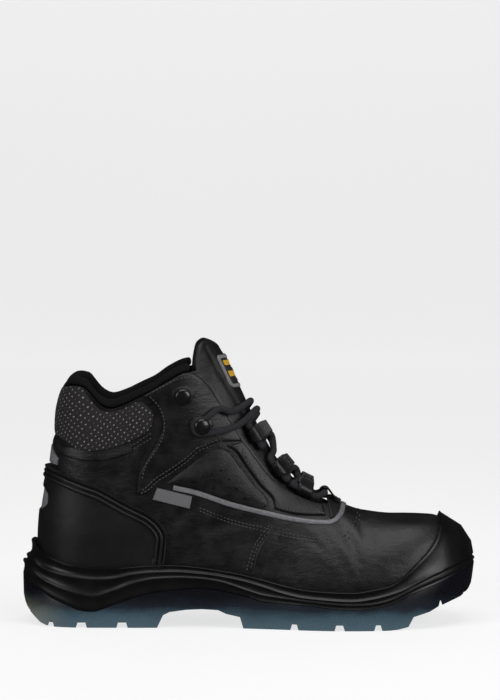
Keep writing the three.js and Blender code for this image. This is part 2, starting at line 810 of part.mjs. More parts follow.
// The outsole: a tray with a wavy wall, cut into lugs by grooves across it and two channels along it.
function outsole() {
  const tray = new Skin().body((s) => {
    const edge = marginOf(s);
    const parting = onLine(s, partingAt, edge);
    const rim = parting.z - GAP;
    return [
      onLine(s, () => -LUG_DEPTH, edge - GAP),
      parting.setZ(rim),
      onLine(s, () => rim, edge - OUTSOLE_WALL),
      onLine(s, floorAt, edge - OUTSOLE_WALL),
    ];
  });
  const side = CHANNEL_OFFSET;
  return tray
    .subtract(across(groundOutline(0, false), -BALL_WIDTH, -side))
    .subtract(across(groundOutline(-MIDDLE_SHIFT, false), -side, side))
    .subtract(across(groundOutline(0, false), side, BALL_WIDTH))
    .subtract(across(groundOutline(0, true), -side - CHANNEL_WIDTH / 2, -side + CHANNEL_WIDTH / 2))
    .subtract(across(groundOutline(0, true), side - CHANNEL_WIDTH / 2, side + CHANNEL_WIDTH / 2));
}

// The upper: a leather wall open at the collar, the throat and underneath.
function upper() {
  const skin = new Skin();
  SIDES.forEach((stations, medial) => {
    const outer = stations.map((s) => wallColumn(s, 0));
    const inner = stations.map((s) => wallColumn(s, -UPPER_WALL));
    inner.forEach((column, i) => column[0].setZ(outer[i][0].z));
    const flip = Boolean(medial);
    skin.sheet(outer, flip);
    skin.sheet(inner, !flip);
    skin.sheet(outer.map((column, i) => [inner[i][0], column[0]]), flip);
    const open = stations.filter((s) => riseAtEdge(s) < QUARTER_TURN).length;
    skin.sheet(outer.slice(0, open + 1).map((column, i) => [column.at(-1), inner[i].at(-1)]), flip);
  });
  return skin.solid();
}

// The insole: a flat bed inside the upper's wall.
function insole() {
  return new Skin().body((s) => {
    const bed = bedAt(s.along) + GAP;
    const rim = outside(s, 0, -UPPER_WALL - INSOLE_MARGIN);
    return [rim.clone().setZ(bed), rim.setZ(bed + INSOLE_THICKNESS)];
  });
}

// The tongue: a padded sheet under the throat, cut at the top by its rounded edge.
function tongue() {
  const rows = 4;
  const columnOf = (s, distance) => {
    const from = riseAtGap(s, Math.min(TONGUE_WIDTH / 2, throatGap(s.along) + TONGUE_EDGE));
    const rises = Array.from({ length: rows + 1 }, (_, j) => mix(from, QUARTER_TURN, j / rows));
    return rises.map((rise) => outside(s, rise, distance));
  };
  const skin = new Skin();
  SIDES.forEach((stations, medial) => {
    const flip = Boolean(medial);
    const covered = (s) => s.stretch === "side" && s.along > COLLAR_END && s.along < TONGUE_FRONT;
    const list = stations.filter(covered);
    const outer = list.map((s) => columnOf(s, 0));
    const inner = list.map((s) => columnOf(s, -UPPER_WALL - GAP - TONGUE_PAD));
    skin.sheet(outer, flip);
    skin.sheet(inner, !flip);
    skin.sheet(outer.map((column, i) => [inner[i][0], column[0]]), flip);
    skin.sheet([inner[0], outer[0]], flip);
    skin.sheet([outer.at(-1), inner.at(-1)], flip);
  });
  return skin.solid().intersect(lastForm(-UPPER_WALL - GAP)).intersect(across(sideView(TONGUE_TOP)));
}

// A strip with the same profile at each station round the collar, from one end to the other.
function collarLining() {
  const stations = [...SIDES[0], ...SIDES[1]].filter((s) => s.stretch !== "toe" && s.along < COLLAR_END);
  const lateral = stations.filter((s) => s.side < 0).reverse();
  const medial = stations.filter((s) => s.side > 0).slice(1);
  const inner = -UPPER_WALL - 3 * GAP;
  const profile = table(
    ["height", "distance"],
    [-LINING_DEPTH, inner],
    [2 * GAP, inner],
    [2 * GAP, -GAP],
    [LINING_PAD * 0.5, -GAP],
    [LINING_PAD, inner],
    [LINING_PAD, inner - LINING_PAD / 2],
    [LINING_PAD * 0.3, inner - LINING_PAD],
    [-LINING_PAD, inner - LINING_PAD],
    [-LINING_DEPTH, inner - LINING_PAD / 2],
  );
  const rings = [...lateral, ...medial].map((s) => {
    const ring = profile.map((p) => outside(s, riseAtHeight(s, topAt(s.along) + p.height), p.distance));
    return [...ring, ring[0]];
  });
  const skin = new Skin();
  skin.sheet(rings);
  for (const [ring, flip] of [[rings[0], true], [rings.at(-1), false]]) {
    const flat = THREE.ShapeUtils.triangulateShape(
      profile.map((p) => new THREE.Vector2(p.distance, p.height)),
      [],
    );
    for (const [a, b, c] of flat) skin.corners.push(ring[a], ring[flip ? b : c], ring[flip ? c : b]);
  }
  return skin.solid();
}

// The heel counter: a moulded cup with ribs along its edge and a window at the back.
const WINDOW_LEVEL = 0.418;
function windowHole(margin) {
  const shape = new THREE.Shape();
  shape.absellipse(0, 0, WINDOW_WIDTH / 2 - margin, WINDOW_HEIGHT / 2 - margin, 0, 2 * Math.PI);
  const options = { depth: HEEL_TURN, bevelEnabled: false, curveSegments: 9 };
  const geometry = new THREE.ExtrudeGeometry(shape, options);
  geometry.rotateX(QUARTER_TURN);
  geometry.rotateZ(QUARTER_TURN);
  geometry.translate(HEEL_BACK - BACK_MARGIN, 0, levelZ(WINDOW_LEVEL));
  return solidOf(geometry);
}
function counter() {
  const edge = new THREE.SplineCurve(sideView(COUNTER_EDGE)).getPoints(8);
  const bottom = [edge.at(-1), edge[0]].map((p) => new THREE.Vector2(p.x, BED_HEIGHT));
  const plate = across([...edge, ...bottom]);
  const base = layer(GAP, GAP + COUNTER_WALL).intersect(plate);
  const thick = layer(COUNTER_WALL, GAP + COUNTER_WALL + COUNTER_RIB).intersect(plate);
  let ribs = null;
  for (let i = 0; i < 3; i++) {
    const line = beside(edge, -RIB_WIDTH / 2 - i * RIB_PITCH);
    const rib = across(band(line, RIB_WIDTH)).intersect(thick);
    ribs = ribs ? ribs.add(rib) : rib;
  }
  return base.add(ribs).subtract(soleBlock(2 * GAP)).subtract(windowHole(0));
}

function heelWindow() {
  const plate = new THREE.Shape().setFromPoints(sideView(COUNTER_EDGE)).getPoints();
  return patch([...plate, new THREE.Vector2(HEEL_BACK, 0)], TAPE).intersect(windowHole(GAP));
}

// The throat's opening as one tall solid, so that what lies on the quarters stops at its edge.
function throatCut() {
  const covered = (s) => s.stretch === "side" && s.along <= THROAT_END + NUDGE && s.along > COLLAR_END;
  const columns = SIDES.map((stations) =>
    stations.filter(covered).map((s) => {
      const y = s.crest.y + throatGap(s.along) * s.side;
      return [BED_HEIGHT, LID * 2].map((z) => new THREE.Vector3(s.crest.x, y, z));
    }),
  );
  const skin = new Skin();
  skin.sheet(columns[0]);
  skin.sheet(columns[1], true);
  for (const row of [0, 1]) {
    skin.sheet(columns[0].map((column, i) => [column[row], columns[1][i][row]]), row === 0);
  }
  skin.sheet([columns[1][0], columns[0][0]]);
  return skin.solid();
}

// A patch of an outline on the outside of the upper, on both sides or on one.
const patch = (points, thickness, side = 0) =>
  layer(GAP, GAP + thickness).intersect(side ? across(points, ...sideSpan(side)) : across(points));

function badge() {
  const outerAt = -UPPER_WALL - GAP;
  const half = BADGE_WIDTH / 2;
  const outline = [
    [BADGE.from, BADGE.low],
    [0.6, BADGE.low],
    [0.6, BADGE.high],
    [BADGE.from, BADGE.high],
  ].map(([along, level]) => new THREE.Vector2(xOf(along), levelZ(level)));
  return layer(outerAt + GAP, outerAt + GAP + TAPE).intersect(across(outline, -half, half));
}

// A lace hook: a foot, a stem and a rounded cap, standing on the quarter.
function hookMesh(row, side) {
  const s = stationAt(row.along, side);
  const rise = riseAtHeight(s, levelZ(row.level));
  const cap = HOOK_CAP / 2;
  const foot = cap * 0.62;
  const stem = HOOK_STEM / 2;
  const throat = LACE + STRAP;
  const profile = [
    [0, 0],
    [foot, 0],
    [foot, 0.6],
    [stem, 1.2],
    [stem, throat - 0.6],
    [cap * 0.9, throat - 0.3],
    [cap, throat + 0.5],
    [cap * 0.8, throat + 1.5],
    [0, throat + 2],
  ].map(([x, y]) => new THREE.Vector2(x, y));
  const geometry = new THREE.LatheGeometry(profile, 10);
  const mesh = new THREE.Mesh(geometryOf(solidOf(geometry)));
  mesh.position.copy(outside(s, rise, 2 * GAP + LEATHER));
  mesh.quaternion.setFromUnitVectors(new THREE.Vector3(0, 1, 0), normalAt(s, rise));
  return mesh;
}

// A lace loop: a folded strap with a round eye for the lace, its tail lying back over the throat's edge.
const EYE = LACE / 2 + 2 * GAP;
const LOOP_RADIUS = EYE + STRAP;
const LOOP_LIFT = LOOP_RADIUS - UPPER_WALL;
const LOOP_TAIL = 12;
function loopGeometry() {
  const low = LEATHER + 2 * GAP - LOOP_LIFT;
  const from = Math.asin((low + STRAP) / LOOP_RADIUS);
  const to = 2 * Math.PI + Math.asin(low / LOOP_RADIUS);
  const shape = new THREE.Shape();
  shape.moveTo(LOOP_TAIL, low);
  shape.lineTo(LOOP_TAIL, low + STRAP);
  shape.absarc(0, 0, LOOP_RADIUS, from, to, false);
  const eye = new THREE.Path();
  eye.absarc(0, 0, EYE, 0, 2 * Math.PI, true);
  shape.holes.push(eye);
  const options = { depth: LOOP_LENGTH, bevelEnabled: false, curveSegments: 3 };
  return new THREE.ExtrudeGeometry(shape, options).translate(0, 0, -LOOP_LENGTH / 2);
}
function loopPlace(along, side) {
  const at = (place) => {
    const s = stationAt(place, side);
    return outside(s, riseAtGap(s, throatGap(place) - LOOP_INSET), LOOP_LIFT);
  };
  const s = stationAt(along, side);
  const origin = at(along);
  const run = at(along + 0.01).sub(at(along - 0.01)).normalize();
  const normal = normalAt(s, riseAtGap(s, throatGap(along)));
  normal.addScaledVector(run, -normal.dot(run)).normalize();
  return { origin, run, normal };
}
function loopMesh(along, side) {
  const { origin, run, normal } = loopPlace(along, side);
  const depth = side < 0 ? run.clone() : run.clone().negate();
  const tail = normal.clone().cross(depth);
  const mesh = new THREE.Mesh(geometryOf(solidOf(loopGeometry())));
  mesh.position.copy(origin);
  mesh.quaternion.setFromRotationMatrix(new THREE.Matrix4().makeBasis(tail, normal, depth));
  return mesh;
}

// A round cord through a few points.
function cord(points, steps) {
  const circle = new THREE.Shape().absarc(0, 0, LACE / 2, 0, 2 * Math.PI, false);
  const path = new THREE.CatmullRomCurve3(points);
  const options = { steps, curveSegments: 2, bevelEnabled: false, extrudePath: path };
  return solidOf(new THREE.ExtrudeGeometry(circle, options));
}
const CORD_LIFT = LACE / 2 + 2 * GAP - UPPER_WALL;
const OVERLAY_LIFT = LEATHER + 4 * GAP + LACE / 2;
const onTongue = (along, side, gap) => {
  const s = stationAt(along, side);
  return outside(s, riseAtGap(s, gap), CORD_LIFT);
};
const onQuarter = (row, side) => {
  const s = stationAt(row.along, side);
  return outside(s, riseAtHeight(s, levelZ(row.level)), OVERLAY_LIFT);
};

const overEdge = (along, side) => {
  const s = stationAt(along, side);
  return outside(s, riseAtGap(s, throatGap(along)), OVERLAY_LIFT);
};

// Two points straight out of a loop's end, so that the lace leaves it in line.
function outOfLoop(along, side, ahead, clear = LACE * 0.75) {
  const { origin, run } = loopPlace(along, side);
  const at = (distance) => origin.clone().addScaledVector(run, ahead * (LOOP_LENGTH / 2 + distance));
  return [at(clear), at(clear + LACE * 0.7)];
}
// One lace strand from a loop over the tongue to the next loop up on the other side.
function strand(from, to, side) {
  const middle = mix(from, to, 0.5) + CROSSING_SHIFT;
  return cord(
    [
      ...outOfLoop(from, side, -1),
      onTongue(mix(from, middle, 0.6), side, throatGap(from) * 0.4),
      onTongue(middle, side, 0),
      onTongue(mix(to, middle, 0.6), -side, throatGap(to) * 0.4),
      ...outOfLoop(to, -side, 1).reverse(),
    ],
    10,
  );
}
function topStrand(from, side) {
  return cord(
    [
      ...outOfLoop(from, side, -1),
      onTongue(HOOK_CROSSING, side, 0),
      onTongue(mix(HOOK_CROSSING, LOW_EDGE, 0.6), -side, throatGap(LOW_EDGE) * 0.6),
      overEdge(LOW_EDGE, -side),
      onQuarter(STRAND_LOW[1], -side),
      onQuarter(STRAND_LOW[0], -side),
    ],
    12,
  );
}
const crossing = (from, to) => strand(from, to, -1).add(strand(from, to, 1));
const hookCrossing = (from) => topStrand(from, -1).add(topStrand(from, 1));
function topBar() {
  const half = (side) => [
    ...STRAND_HIGH.map((row) => onQuarter(row, side)),
    overEdge(HIGH_EDGE, side),
    onTongue(mix(TOP_BAR, HIGH_EDGE, 0.6), side, throatGap(HIGH_EDGE) * 0.6),
  ];
  return cord([...half(-1), onTongue(TOP_BAR, -1, 0), ...half(1).reverse()], 14);
}

// The loop at the bottom of the throat, set across the foot, and the lace through it.
function bottomPlace() {
  const s = stationAt(BOTTOM_LOOP, 1);
  const origin = outside(s, QUARTER_TURN, LOOP_LIFT);
  const normal = normalAt(s, QUARTER_TURN);
  const forward = new THREE.Vector3(0, 1, 0).cross(normal).normalize();
  return { origin, normal, forward };
}
function bottomLoop() {
  const { origin, normal, forward } = bottomPlace();
  const mesh = new THREE.Mesh(geometryOf(solidOf(loopGeometry())));
  mesh.position.copy(origin);
  const depth = forward.clone().cross(normal);
  mesh.quaternion.setFromRotationMatrix(new THREE.Matrix4().makeBasis(forward, normal, depth));
  return mesh;
}
function bottomLace(from) {
  const { origin } = bottomPlace();
  const at = (side, share) => origin.clone().add(new THREE.Vector3(0, side * share * LOOP_LENGTH, 0));
  const half = (side) => [...outOfLoop(from, side, 1, LACE / 4), at(side, 0.8), at(side, 0.45)];
  return cord([...half(-1), origin, ...half(1).reverse()], 16);
}

// Colours and finishes, one for each kind of material.
const finish = (color, roughness, metalness = 0) =>
  new THREE.MeshStandardMaterial({ color, roughness, metalness });
const black = () => finish(0x1b1a1b, 0.5);
const metal = () => finish(0x1a1a1b, 0.25, 0.6);

const group = new THREE.Group();
function place(name, shape, material) {
  const mesh = shape.isMesh ? shape : new THREE.Mesh(geometryOf(shape));
  mesh.name = name;
  mesh.material = material;
  group.add(mesh);
}

place("upper", upper(), black());
place("insole", insole(), finish(0x2a2a2b, 0.9));
place("midsole", midsole(), finish(0x161517, 0.45));
place("outsole", outsole(), finish(0x3c525c, 0.3));
place("tongue", tongue(), black());
place("tongue_badge", badge(), finish(0x77757a, 0.5));
place("collar_lining", collarLining(), finish(0x141314, 0.9));
place("collar_cuff", patch(sideView(CUFF), CUFF_PAD), finish(0x232122, 0.85));
place("heel_counter", counter(), finish(0x1d1c1e, 0.6));
place("heel_window", heelWindow(), finish(0x76747a, 0.35));
place("heel_strip", patch(sideView(STRIP), TAPE), finish(0x76747a, 0.35));
place("vamp_piping", patch(band(sideView(PIPING), PIPING_WIDTH), TAPE), finish(0x7a787e, 0.35));
for (const [label, side] of [["lateral", -1], ["medial", 1]]) {
  place(`quarter_${label}`, patch(sideView(QUARTER), LEATHER, side).subtract(throatCut()), black());
  place(`eyestay_${label}`, patch(sideView(EYESTAY), LEATHER, side).subtract(throatCut()), black());
  place(`ankle_panel_${label}`, patch(sideView(PANEL), LEATHER, side), finish(0x2c2b2c, 0.6));
  place(`side_tag_${label}`, patch(sideView(TAG), TAPE, side), finish(0x6f6d72, 0.4));
  HOOKS.forEach((row, i) => place(`lace_hook_${label}_${i + 1}`, hookMesh(row, side), metal()));
  LOOPS.forEach((row, i) => place(`lace_loop_${label}_${i + 1}`, loopMesh(row.along, side), black()));
}
const laceFinish = () => finish(0x1d1b1e, 0.8);
LOOPS.slice(1).forEach((row, i) => {
  place(`lace_crossing_${i + 1}`, crossing(row.along, LOOPS[i].along), laceFinish());
});
place("lace_hook_crossing", hookCrossing(LOOPS[0].along), laceFinish());
place("lace_top_bar", topBar(), laceFinish());
place("lace_bottom", bottomLace(LOOPS.at(-1).along), laceFinish());
place("lace_loop_bottom", bottomLoop(), black());

// The origin is the bottom centre of the whole boot.
const whole = new THREE.Box3().setFromObject(group);
const centre = whole.getCenter(new THREE.Vector3()).setZ(whole.min.z);
group.children.forEach((mesh) => mesh.position.sub(centre));

export default group;
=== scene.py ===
"""The looks of a mid-cut safety boot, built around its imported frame.

The boot's own sizes are in millimetres, in the last's coordinates: +X points to the toe, +Y to the
inner side, +Z up. Every mesh is moved into the frame, in metres, when it is made.
"""

from __future__ import annotations

import json
import logging
import math
from collections.abc import Callable, Sequence
from dataclasses import dataclass, field
from enum import Enum

import bmesh
import bpy
import numpy as np
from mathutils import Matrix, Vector, geometry

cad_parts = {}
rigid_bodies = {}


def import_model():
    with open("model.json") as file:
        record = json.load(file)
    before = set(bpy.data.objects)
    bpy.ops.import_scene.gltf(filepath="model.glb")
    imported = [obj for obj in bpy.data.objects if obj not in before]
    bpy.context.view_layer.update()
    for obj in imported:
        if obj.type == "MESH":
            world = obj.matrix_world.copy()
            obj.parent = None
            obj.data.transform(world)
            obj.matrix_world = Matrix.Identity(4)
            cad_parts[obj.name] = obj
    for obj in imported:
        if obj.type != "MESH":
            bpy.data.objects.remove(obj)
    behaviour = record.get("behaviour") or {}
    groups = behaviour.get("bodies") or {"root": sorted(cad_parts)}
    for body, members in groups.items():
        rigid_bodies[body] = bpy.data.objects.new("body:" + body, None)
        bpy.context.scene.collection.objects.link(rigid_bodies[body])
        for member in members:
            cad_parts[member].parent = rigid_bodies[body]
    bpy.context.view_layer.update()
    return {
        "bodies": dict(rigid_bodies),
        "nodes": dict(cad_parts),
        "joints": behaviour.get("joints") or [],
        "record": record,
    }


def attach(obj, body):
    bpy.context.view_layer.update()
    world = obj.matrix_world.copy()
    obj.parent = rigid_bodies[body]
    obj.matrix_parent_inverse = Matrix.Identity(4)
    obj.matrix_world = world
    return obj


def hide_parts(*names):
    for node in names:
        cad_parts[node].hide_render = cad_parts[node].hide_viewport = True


LOG = logging.getLogger("safety boot")
Array = np.ndarray
Rgb = tuple[float, float, float]

MM = 0.001
QUARTER = math.pi / 2
UV_UNIT = 100.0
FRAME_ORIGIN = (0.2777, 0.5604, 0.0)


class Side(Enum):
    """The two sides of the foot, by the sign of Y."""

    LATERAL = -1
    MEDIAL = 1

    @property
    def label(self) -> str:
        """The side's name as nodes use it."""
        return self.name.lower()


def numbers(text: str) -> Array:
    """Rows of numbers from text: a comma ends a row and spaces split its values."""
    return np.array([row.split() for row in text.split(",")], float)


def mix(a: Array | float, b: Array | float, t: Array | float) -> Array | float:
    """The value a share t of the way from a to b."""
    return a + (b - a) * t


def smooth(low: float, high: float, x: Array | float) -> Array | float:
    """A soft step from 0 at low to 1 at high."""
    t = np.clip((np.asarray(x, float) - low) / (high - low), 0, 1)
    return t * t * (3 - 2 * t)


def bump(distance: Array | float, width: float) -> Array | float:
    """A bell of height 1 that has all but gone at one and a half widths."""
    return np.exp(-((np.asarray(distance) / width) ** 2) * 2)


class Curve:
    """A smooth curve through the points of a table that never overshoots."""

    def __init__(self, at: Array, value: Array) -> None:
        """Keeps the points and works out a slope at each."""
        self.at = np.asarray(at, float)
        self.value = np.asarray(value, float)
        step = np.diff(self.at)
        slope = np.diff(self.value) / step
        self.tangent = np.zeros_like(self.value)
        self.tangent[0] = slope[0]
        self.tangent[-1] = slope[-1]
        same = slope[:-1] * slope[1:] > 0
        with np.errstate(divide="ignore", invalid="ignore"):
            mean = 2 / (1 / slope[:-1] + 1 / slope[1:])
        self.tangent[1:-1] = np.where(same, mean, 0)

    def __call__(self, x: Array | float) -> Array:
        """The curve's value at x, held level past its ends."""
        x = np.clip(np.asarray(x, float), self.at[0], self.at[-1])
        i = np.clip(np.searchsorted(self.at, x, side="right") - 1, 0, len(self.at) - 2)
        width = self.at[i + 1] - self.at[i]
        t = (x - self.at[i]) / width
        back = 1 - t
        ends = self.value[i] * back**2 * (1 + 2 * t) + self.value[i + 1] * t**2 * (3 - 2 * t)
        return ends + width * t * back * (self.tangent[i] * back - self.tangent[i + 1] * t)


def curves(text: str) -> list[Curve]:
    """Curves through the columns of rows whose first value says where the others lie."""
    at, *columns = numbers(text).T
    return [Curve(at, column) for column in columns]


def unit(v: Array) -> Array:
    """Vectors scaled to length one."""
    return v / np.maximum(np.linalg.norm(v, axis=-1, keepdims=True), 1e-12)


def solve(test: Callable[[Array], Array], low: Array, high: Array, steps: int = 22) -> Array:
    """Halves a range until a rising test changes sign.

    Args:
        test: The rising function.
        low: Where each search starts.
        high: Where each search ends.
        steps: How many times each range is halved.

    Returns:
        The place at which each test turns positive, or the end that is nearer to it.
    """
    low = np.array(low, float)
    high = np.array(high, float)
    for _ in range(steps):
        middle = (low + high) / 2
        below = test(middle) < 0
        low = np.where(below, middle, low)
        high = np.where(below, high, middle)
    return high


@dataclass
class Last:
    """The form of the foot that every piece follows.

    A station is a place round the foot: u runs from -1 at the back of the heel to 0 where the side
    starts, to 1 where the toe's turn starts and to 2 at its tip. Rise runs from 0 at the upper's lower
    edge to a quarter turn at the crest.
    """

    length: float = 284.0
    ball: float = 98.0
    heel: float = 69.0
    toe_height: float = 43.0
    shaft: float = 90.0
    bed: float = 28.0
    heel_turn: float = 38.0
    toe_turn: float = 68.0
    back_margin: float = 12.0
    toe_margin: float = 5.0
    throat: float = 50.0
    throat_top: float = 0.36
    throat_end: float = 0.705
    wall: float = 2.2
    heel_square: float = 2.2
    toe_square: float = 2.3
    tip_square: float = 4.6
    ankle: float = 0.32
    fore: float = 0.53
    throat_taper: float = 0.85

    def __post_init__(self) -> None:
        """Reads the tables of sections into curves; each row starts with its place or height."""
        self.half, self.axis, self.ridge = curves("""
            0 0.352 0 0, 0.14 0.352 0 0, 0.23 0.349 -0.006 0, 0.33 0.334 -0.015 -0.005,
            0.44 0.344 -0.022 -0.006, 0.545 0.394 -0.028 -0.004, 0.65 0.464 -0.03 0,
            0.72 0.495 -0.022 0.006, 0.79 0.5 -0.008 0.014, 0.86 0.49 0.006 0.022, 0.93 0.474 0.022 0.028,
            1 0.44 0.046 0.03""")
        low, high = self.axis.value - self.half.value, self.axis.value + self.half.value
        self.middle = float((high.max() + low.min()) / 2)
        self.climb, self.square = curves("""
            0.133 12.5 2.2, 0.246 7 2.2, 0.333 3.16 2.2, 0.386 1.8 2.15, 0.414 1.42 2.1, 0.449 1.18 2,
            0.491 0.9 1.9, 0.533 0.64 1.85, 0.579 0.405 1.8, 0.632 0.235 1.85, 0.684 0.14 1.9,
            0.737 0.068 2.05, 0.789 0.02 2.2, 0.842 0 2.3, 0.93 0 2.4, 1 -0.06 2.4""")
        (self.bed_level,) = curves("""
            0 1, 0.2 1, 0.35 0.98, 0.45 0.89, 0.55 0.73, 0.65 0.61, 0.75 0.59, 0.85 0.7, 0.93 0.86, 1 1.04""")
        (self.top_level,) = curves("""
            0 0.933, 0.025 0.967, 0.07 1.005, 0.105 0.99, 0.126 0.933, 0.147 0.861, 0.168 0.833,
            0.2 0.863, 0.235 0.916, 0.27 0.967, 0.305 1.041, 0.345 1.1, 0.375 1.117""")
        leans = curves("""
            0 0 0 0 0 0, 0.06 0.008 0.015 0.012 0.02 0.045, 0.12 0.01 0.025 0.02 0.03 0.065,
            0.24 0.005 0.02 0.015 0.02 0.065, 0.35 -0.01 0 0 0 0.05, 0.47 -0.046 -0.025 0 0 0,
            0.58 -0.09 -0.04 0.01 0 0, 0.69 -0.12 -0.045 0.03 0 0, 0.8 -0.177 -0.035 0.05 0 0,
            0.9 -0.215 -0.02 0.06 0 0, 1 -0.25 -0.01 0.065 0 0, 1.3 -0.3 0 0.07 0 0""")
        self.leans = dict(zip(("back", "heel", "ankle", "fore", "tip"), leans))
        bulge = float(self.leans["tip"].value.max())
        sole = self.length + self.back_margin + self.toe_margin + bulge * self.heel
        self.back = self.back_margin - sole / 2
        self.height = self.toe_height + self.shaft
        self.toe_top = self.bed + self.toe_height
        self.heel_centre = self.back + self.heel_turn
        self.toe_centre = self.back + self.length - self.toe_turn

    def along(self, x: Array | float) -> Array | float:
        """The share of the last's length at which x lies."""
        return (x - self.back) / self.length

    def x(self, along: Array | float) -> Array | float:
        """The x of a share of the last's length."""
        return self.back + along * self.length

    def z(self, level: Array | float) -> Array | float:
        """The height of a level: a share of the upper's height above the bed."""
        return self.bed + level * self.height

    def u(self, along: Array | float) -> Array | float:
        """The station on the side at a share of the last's length."""
        return (self.x(along) - self.heel_centre) / (self.toe_centre - self.heel_centre)

    def bed_at(self, along: Array) -> Array:
        """The height of the upper's lower edge."""
        return self.bed * self.bed_level(along)

    def crest_at(self, along: Array) -> Array:
        """The height of the crest."""
        return self.toe_top + self.shaft * self.climb(along)

    def top_at(self, along: Array) -> Array:
        """The height of the collar's edge."""
        return self.toe_top + self.shaft * self.top_level(along)

    def station(self, u: Array, side: Array) -> dict[str, Array]:
        """Works out the lower edge and the crest of stations.

        Args:
            u: Places round the foot.
            side: -1 on the lateral side and 1 on the medial side.

        Returns:
            The stations' named values.
        """
        u = np.asarray(u, float)
        turn = np.clip(np.where(u < 0, -u, u - 1), 0, 1) * QUARTER
        sine = np.sin(turn)
        cosine = np.clip(np.cos(turn), 0, 1)
        in_heel = u < 0
        in_toe = u > 1
        x = mix(self.heel_centre, self.toe_centre, np.clip(u, 0, 1))
        x = x - np.where(in_heel, self.heel_turn * sine ** (2 / self.heel_square), 0)
        x = x + np.where(in_toe, self.toe_turn * sine ** (2 / self.toe_square), 0)
        toe = np.where(in_toe, cosine ** (2 / self.toe_square), 1)
        spread = np.where(in_heel, cosine ** (2 / self.heel_square), toe)
        spread = np.where(turn > QUARTER - 1e-9, 0, spread)
        along = self.along(x)
        edge_y = self.ball * (self.axis(along) - self.middle + side * self.half(along) * spread)
        crest_x = np.clip(x, self.heel_centre, self.toe_centre)
        crest_y = self.ball * (self.ridge(self.along(crest_x)) - self.middle)
        out_x = x - crest_x
        out_y = edge_y - crest_y
        reach = np.hypot(out_x, out_y)
        return {
            "u": u,
            "turn": turn,
            "along": along,
            "crest_x": crest_x,
            "crest_y": crest_y,
            "out_x": out_x / reach,
            "out_y": out_y / reach,
            "reach": reach,
        }

    def lean(self, s: dict[str, Array], height: Array) -> Array:
        """How far the wall stands out at a height above the lower edge."""
        h = height / self.height
        around = np.sin(s["turn"]) ** 2
        at = {name: curve(h) for name, curve in self.leans.items()}
        ankle = smooth(self.along(self.heel_centre), self.ankle, s["along"])
        fore = smooth(self.ankle, self.fore, s["along"])
        flank = mix(mix(at["heel"], at["ankle"], ankle), at["fore"], fore)
        back = mix(at["heel"], at["back"], around)
        toe = mix(at["fore"], at["tip"], around)
        return self.heel * np.where(s["u"] < 0, back, np.where(s["u"] > 1, toe, flank))

    def point(self, u: Array, side: Array, rise: Array) -> Array:
        """Points of the last's surface.

        Args:
            u: Places round the foot.
            side: -1 on the lateral side and 1 on the medial side.
            rise: How far up the section each point lies.

        Returns:
            The points, with x, y and z along the last axis.
        """
        u, side, rise = np.broadcast_arrays(np.asarray(u, float), side, rise)
        s = self.station(u, side)
        square = self.square(s["along"]) + np.where(u > 1, self.tip_square * np.sin(s["turn"]) ** 2, 0)
        inward = np.clip(np.cos(rise), 0, 1) ** (2 / square)
        upward = np.clip(np.sin(rise), 0, 1) ** (2 / square)
        bed = self.bed_at(s["along"])
        crest = self.crest_at(self.along(s["crest_x"]))
        reach = (s["reach"] + self.lean(s, (crest - bed) * upward)) * inward
        x = s["crest_x"] + s["out_x"] * reach
        y = s["crest_y"] + s["out_y"] * reach
        top = np.where(u > 1, self.crest_at(self.along(x)), crest)
        return np.stack([x, y, bed + (top - bed) * upward], axis=-1)

    def normal(self, u: Array, side: Array, rise: Array) -> Array:
        """The outward direction at points of the surface."""
        u, side, rise = np.broadcast_arrays(np.asarray(u, float), side, rise)
        nudge = 1e-3
        low = np.clip(rise - nudge, 1e-5, None)
        up = self.point(u, side, np.minimum(rise + nudge, QUARTER)) - self.point(u, side, low)
        inside = np.clip(u, -1 + nudge, 2 - nudge)
        forward = self.point(inside + nudge, side, rise) - self.point(inside - nudge, side, rise)
        normal = np.cross(forward, up) * -side[..., None]
        s = self.station(u, side)
        tip = (np.abs(u - 0.5) >= 1.5 - 1e-9)[..., None]
        sideways = np.stack([-s["out_y"], s["out_x"], np.zeros_like(s["out_x"])], axis=-1)
        flat = normal - sideways * (normal * sideways).sum(-1, keepdims=True)
        normal = unit(np.where(tip, flat, normal))
        at = self.along(s["crest_x"])
        slope = (self.crest_at(at + nudge) - self.crest_at(at - nudge)) / (2 * nudge * self.length)
        top = unit(np.stack([-slope, np.zeros_like(slope), np.ones_like(slope)], axis=-1))
        return np.where((rise >= QUARTER - nudge)[..., None], top, normal)

    def outside(self, u: Array, side: Array, rise: Array, distance: Array | float) -> Array:
        """Points at a distance outside the surface."""
        distance = np.asarray(distance, float)
        return self.point(u, side, rise) + self.normal(u, side, rise) * distance[..., None]

    def rise_where(self, shape: tuple[int, ...], test: Callable[[Array], Array]) -> Array:
        """The rise at which a rising test turns positive."""
        return solve(test, np.zeros(shape), np.full(shape, QUARTER))

    def rise_at_height(self, u: Array, side: Array, z: Array) -> Array:
        """The rise at which a section reaches a height."""
        u, side, z = np.broadcast_arrays(np.asarray(u, float), side, z)

        def above(rise: Array) -> Array:
            """How far the section lies above the height."""
            return self.point(u, side, rise)[..., 2] - z

        return self.rise_where(u.shape, above)

    def rise_at_gap(self, u: Array, side: Array, gap: Array) -> Array:
        """The rise at which a section is a distance from the crest line, seen from above."""
        u, side, gap = np.broadcast_arrays(np.asarray(u, float), side, gap)
        s = self.station(u, side)

        def nearer(rise: Array) -> Array:
            """How much nearer than the distance the section is."""
            p = self.point(u, side, rise)
            return gap - np.hypot(p[..., 0] - s["crest_x"], p[..., 1] - s["crest_y"])

        return self.rise_where(u.shape, nearer)

    def spot(self, along: float, side: float, gap: Array, distance: float) -> Array:
        """One point outside the surface, a gap away from the crest line."""
        u, sides = np.array([self.u(along)]), np.array([side])
        return self.outside(u, sides, self.rise_at_gap(u, sides, gap), distance)[0]

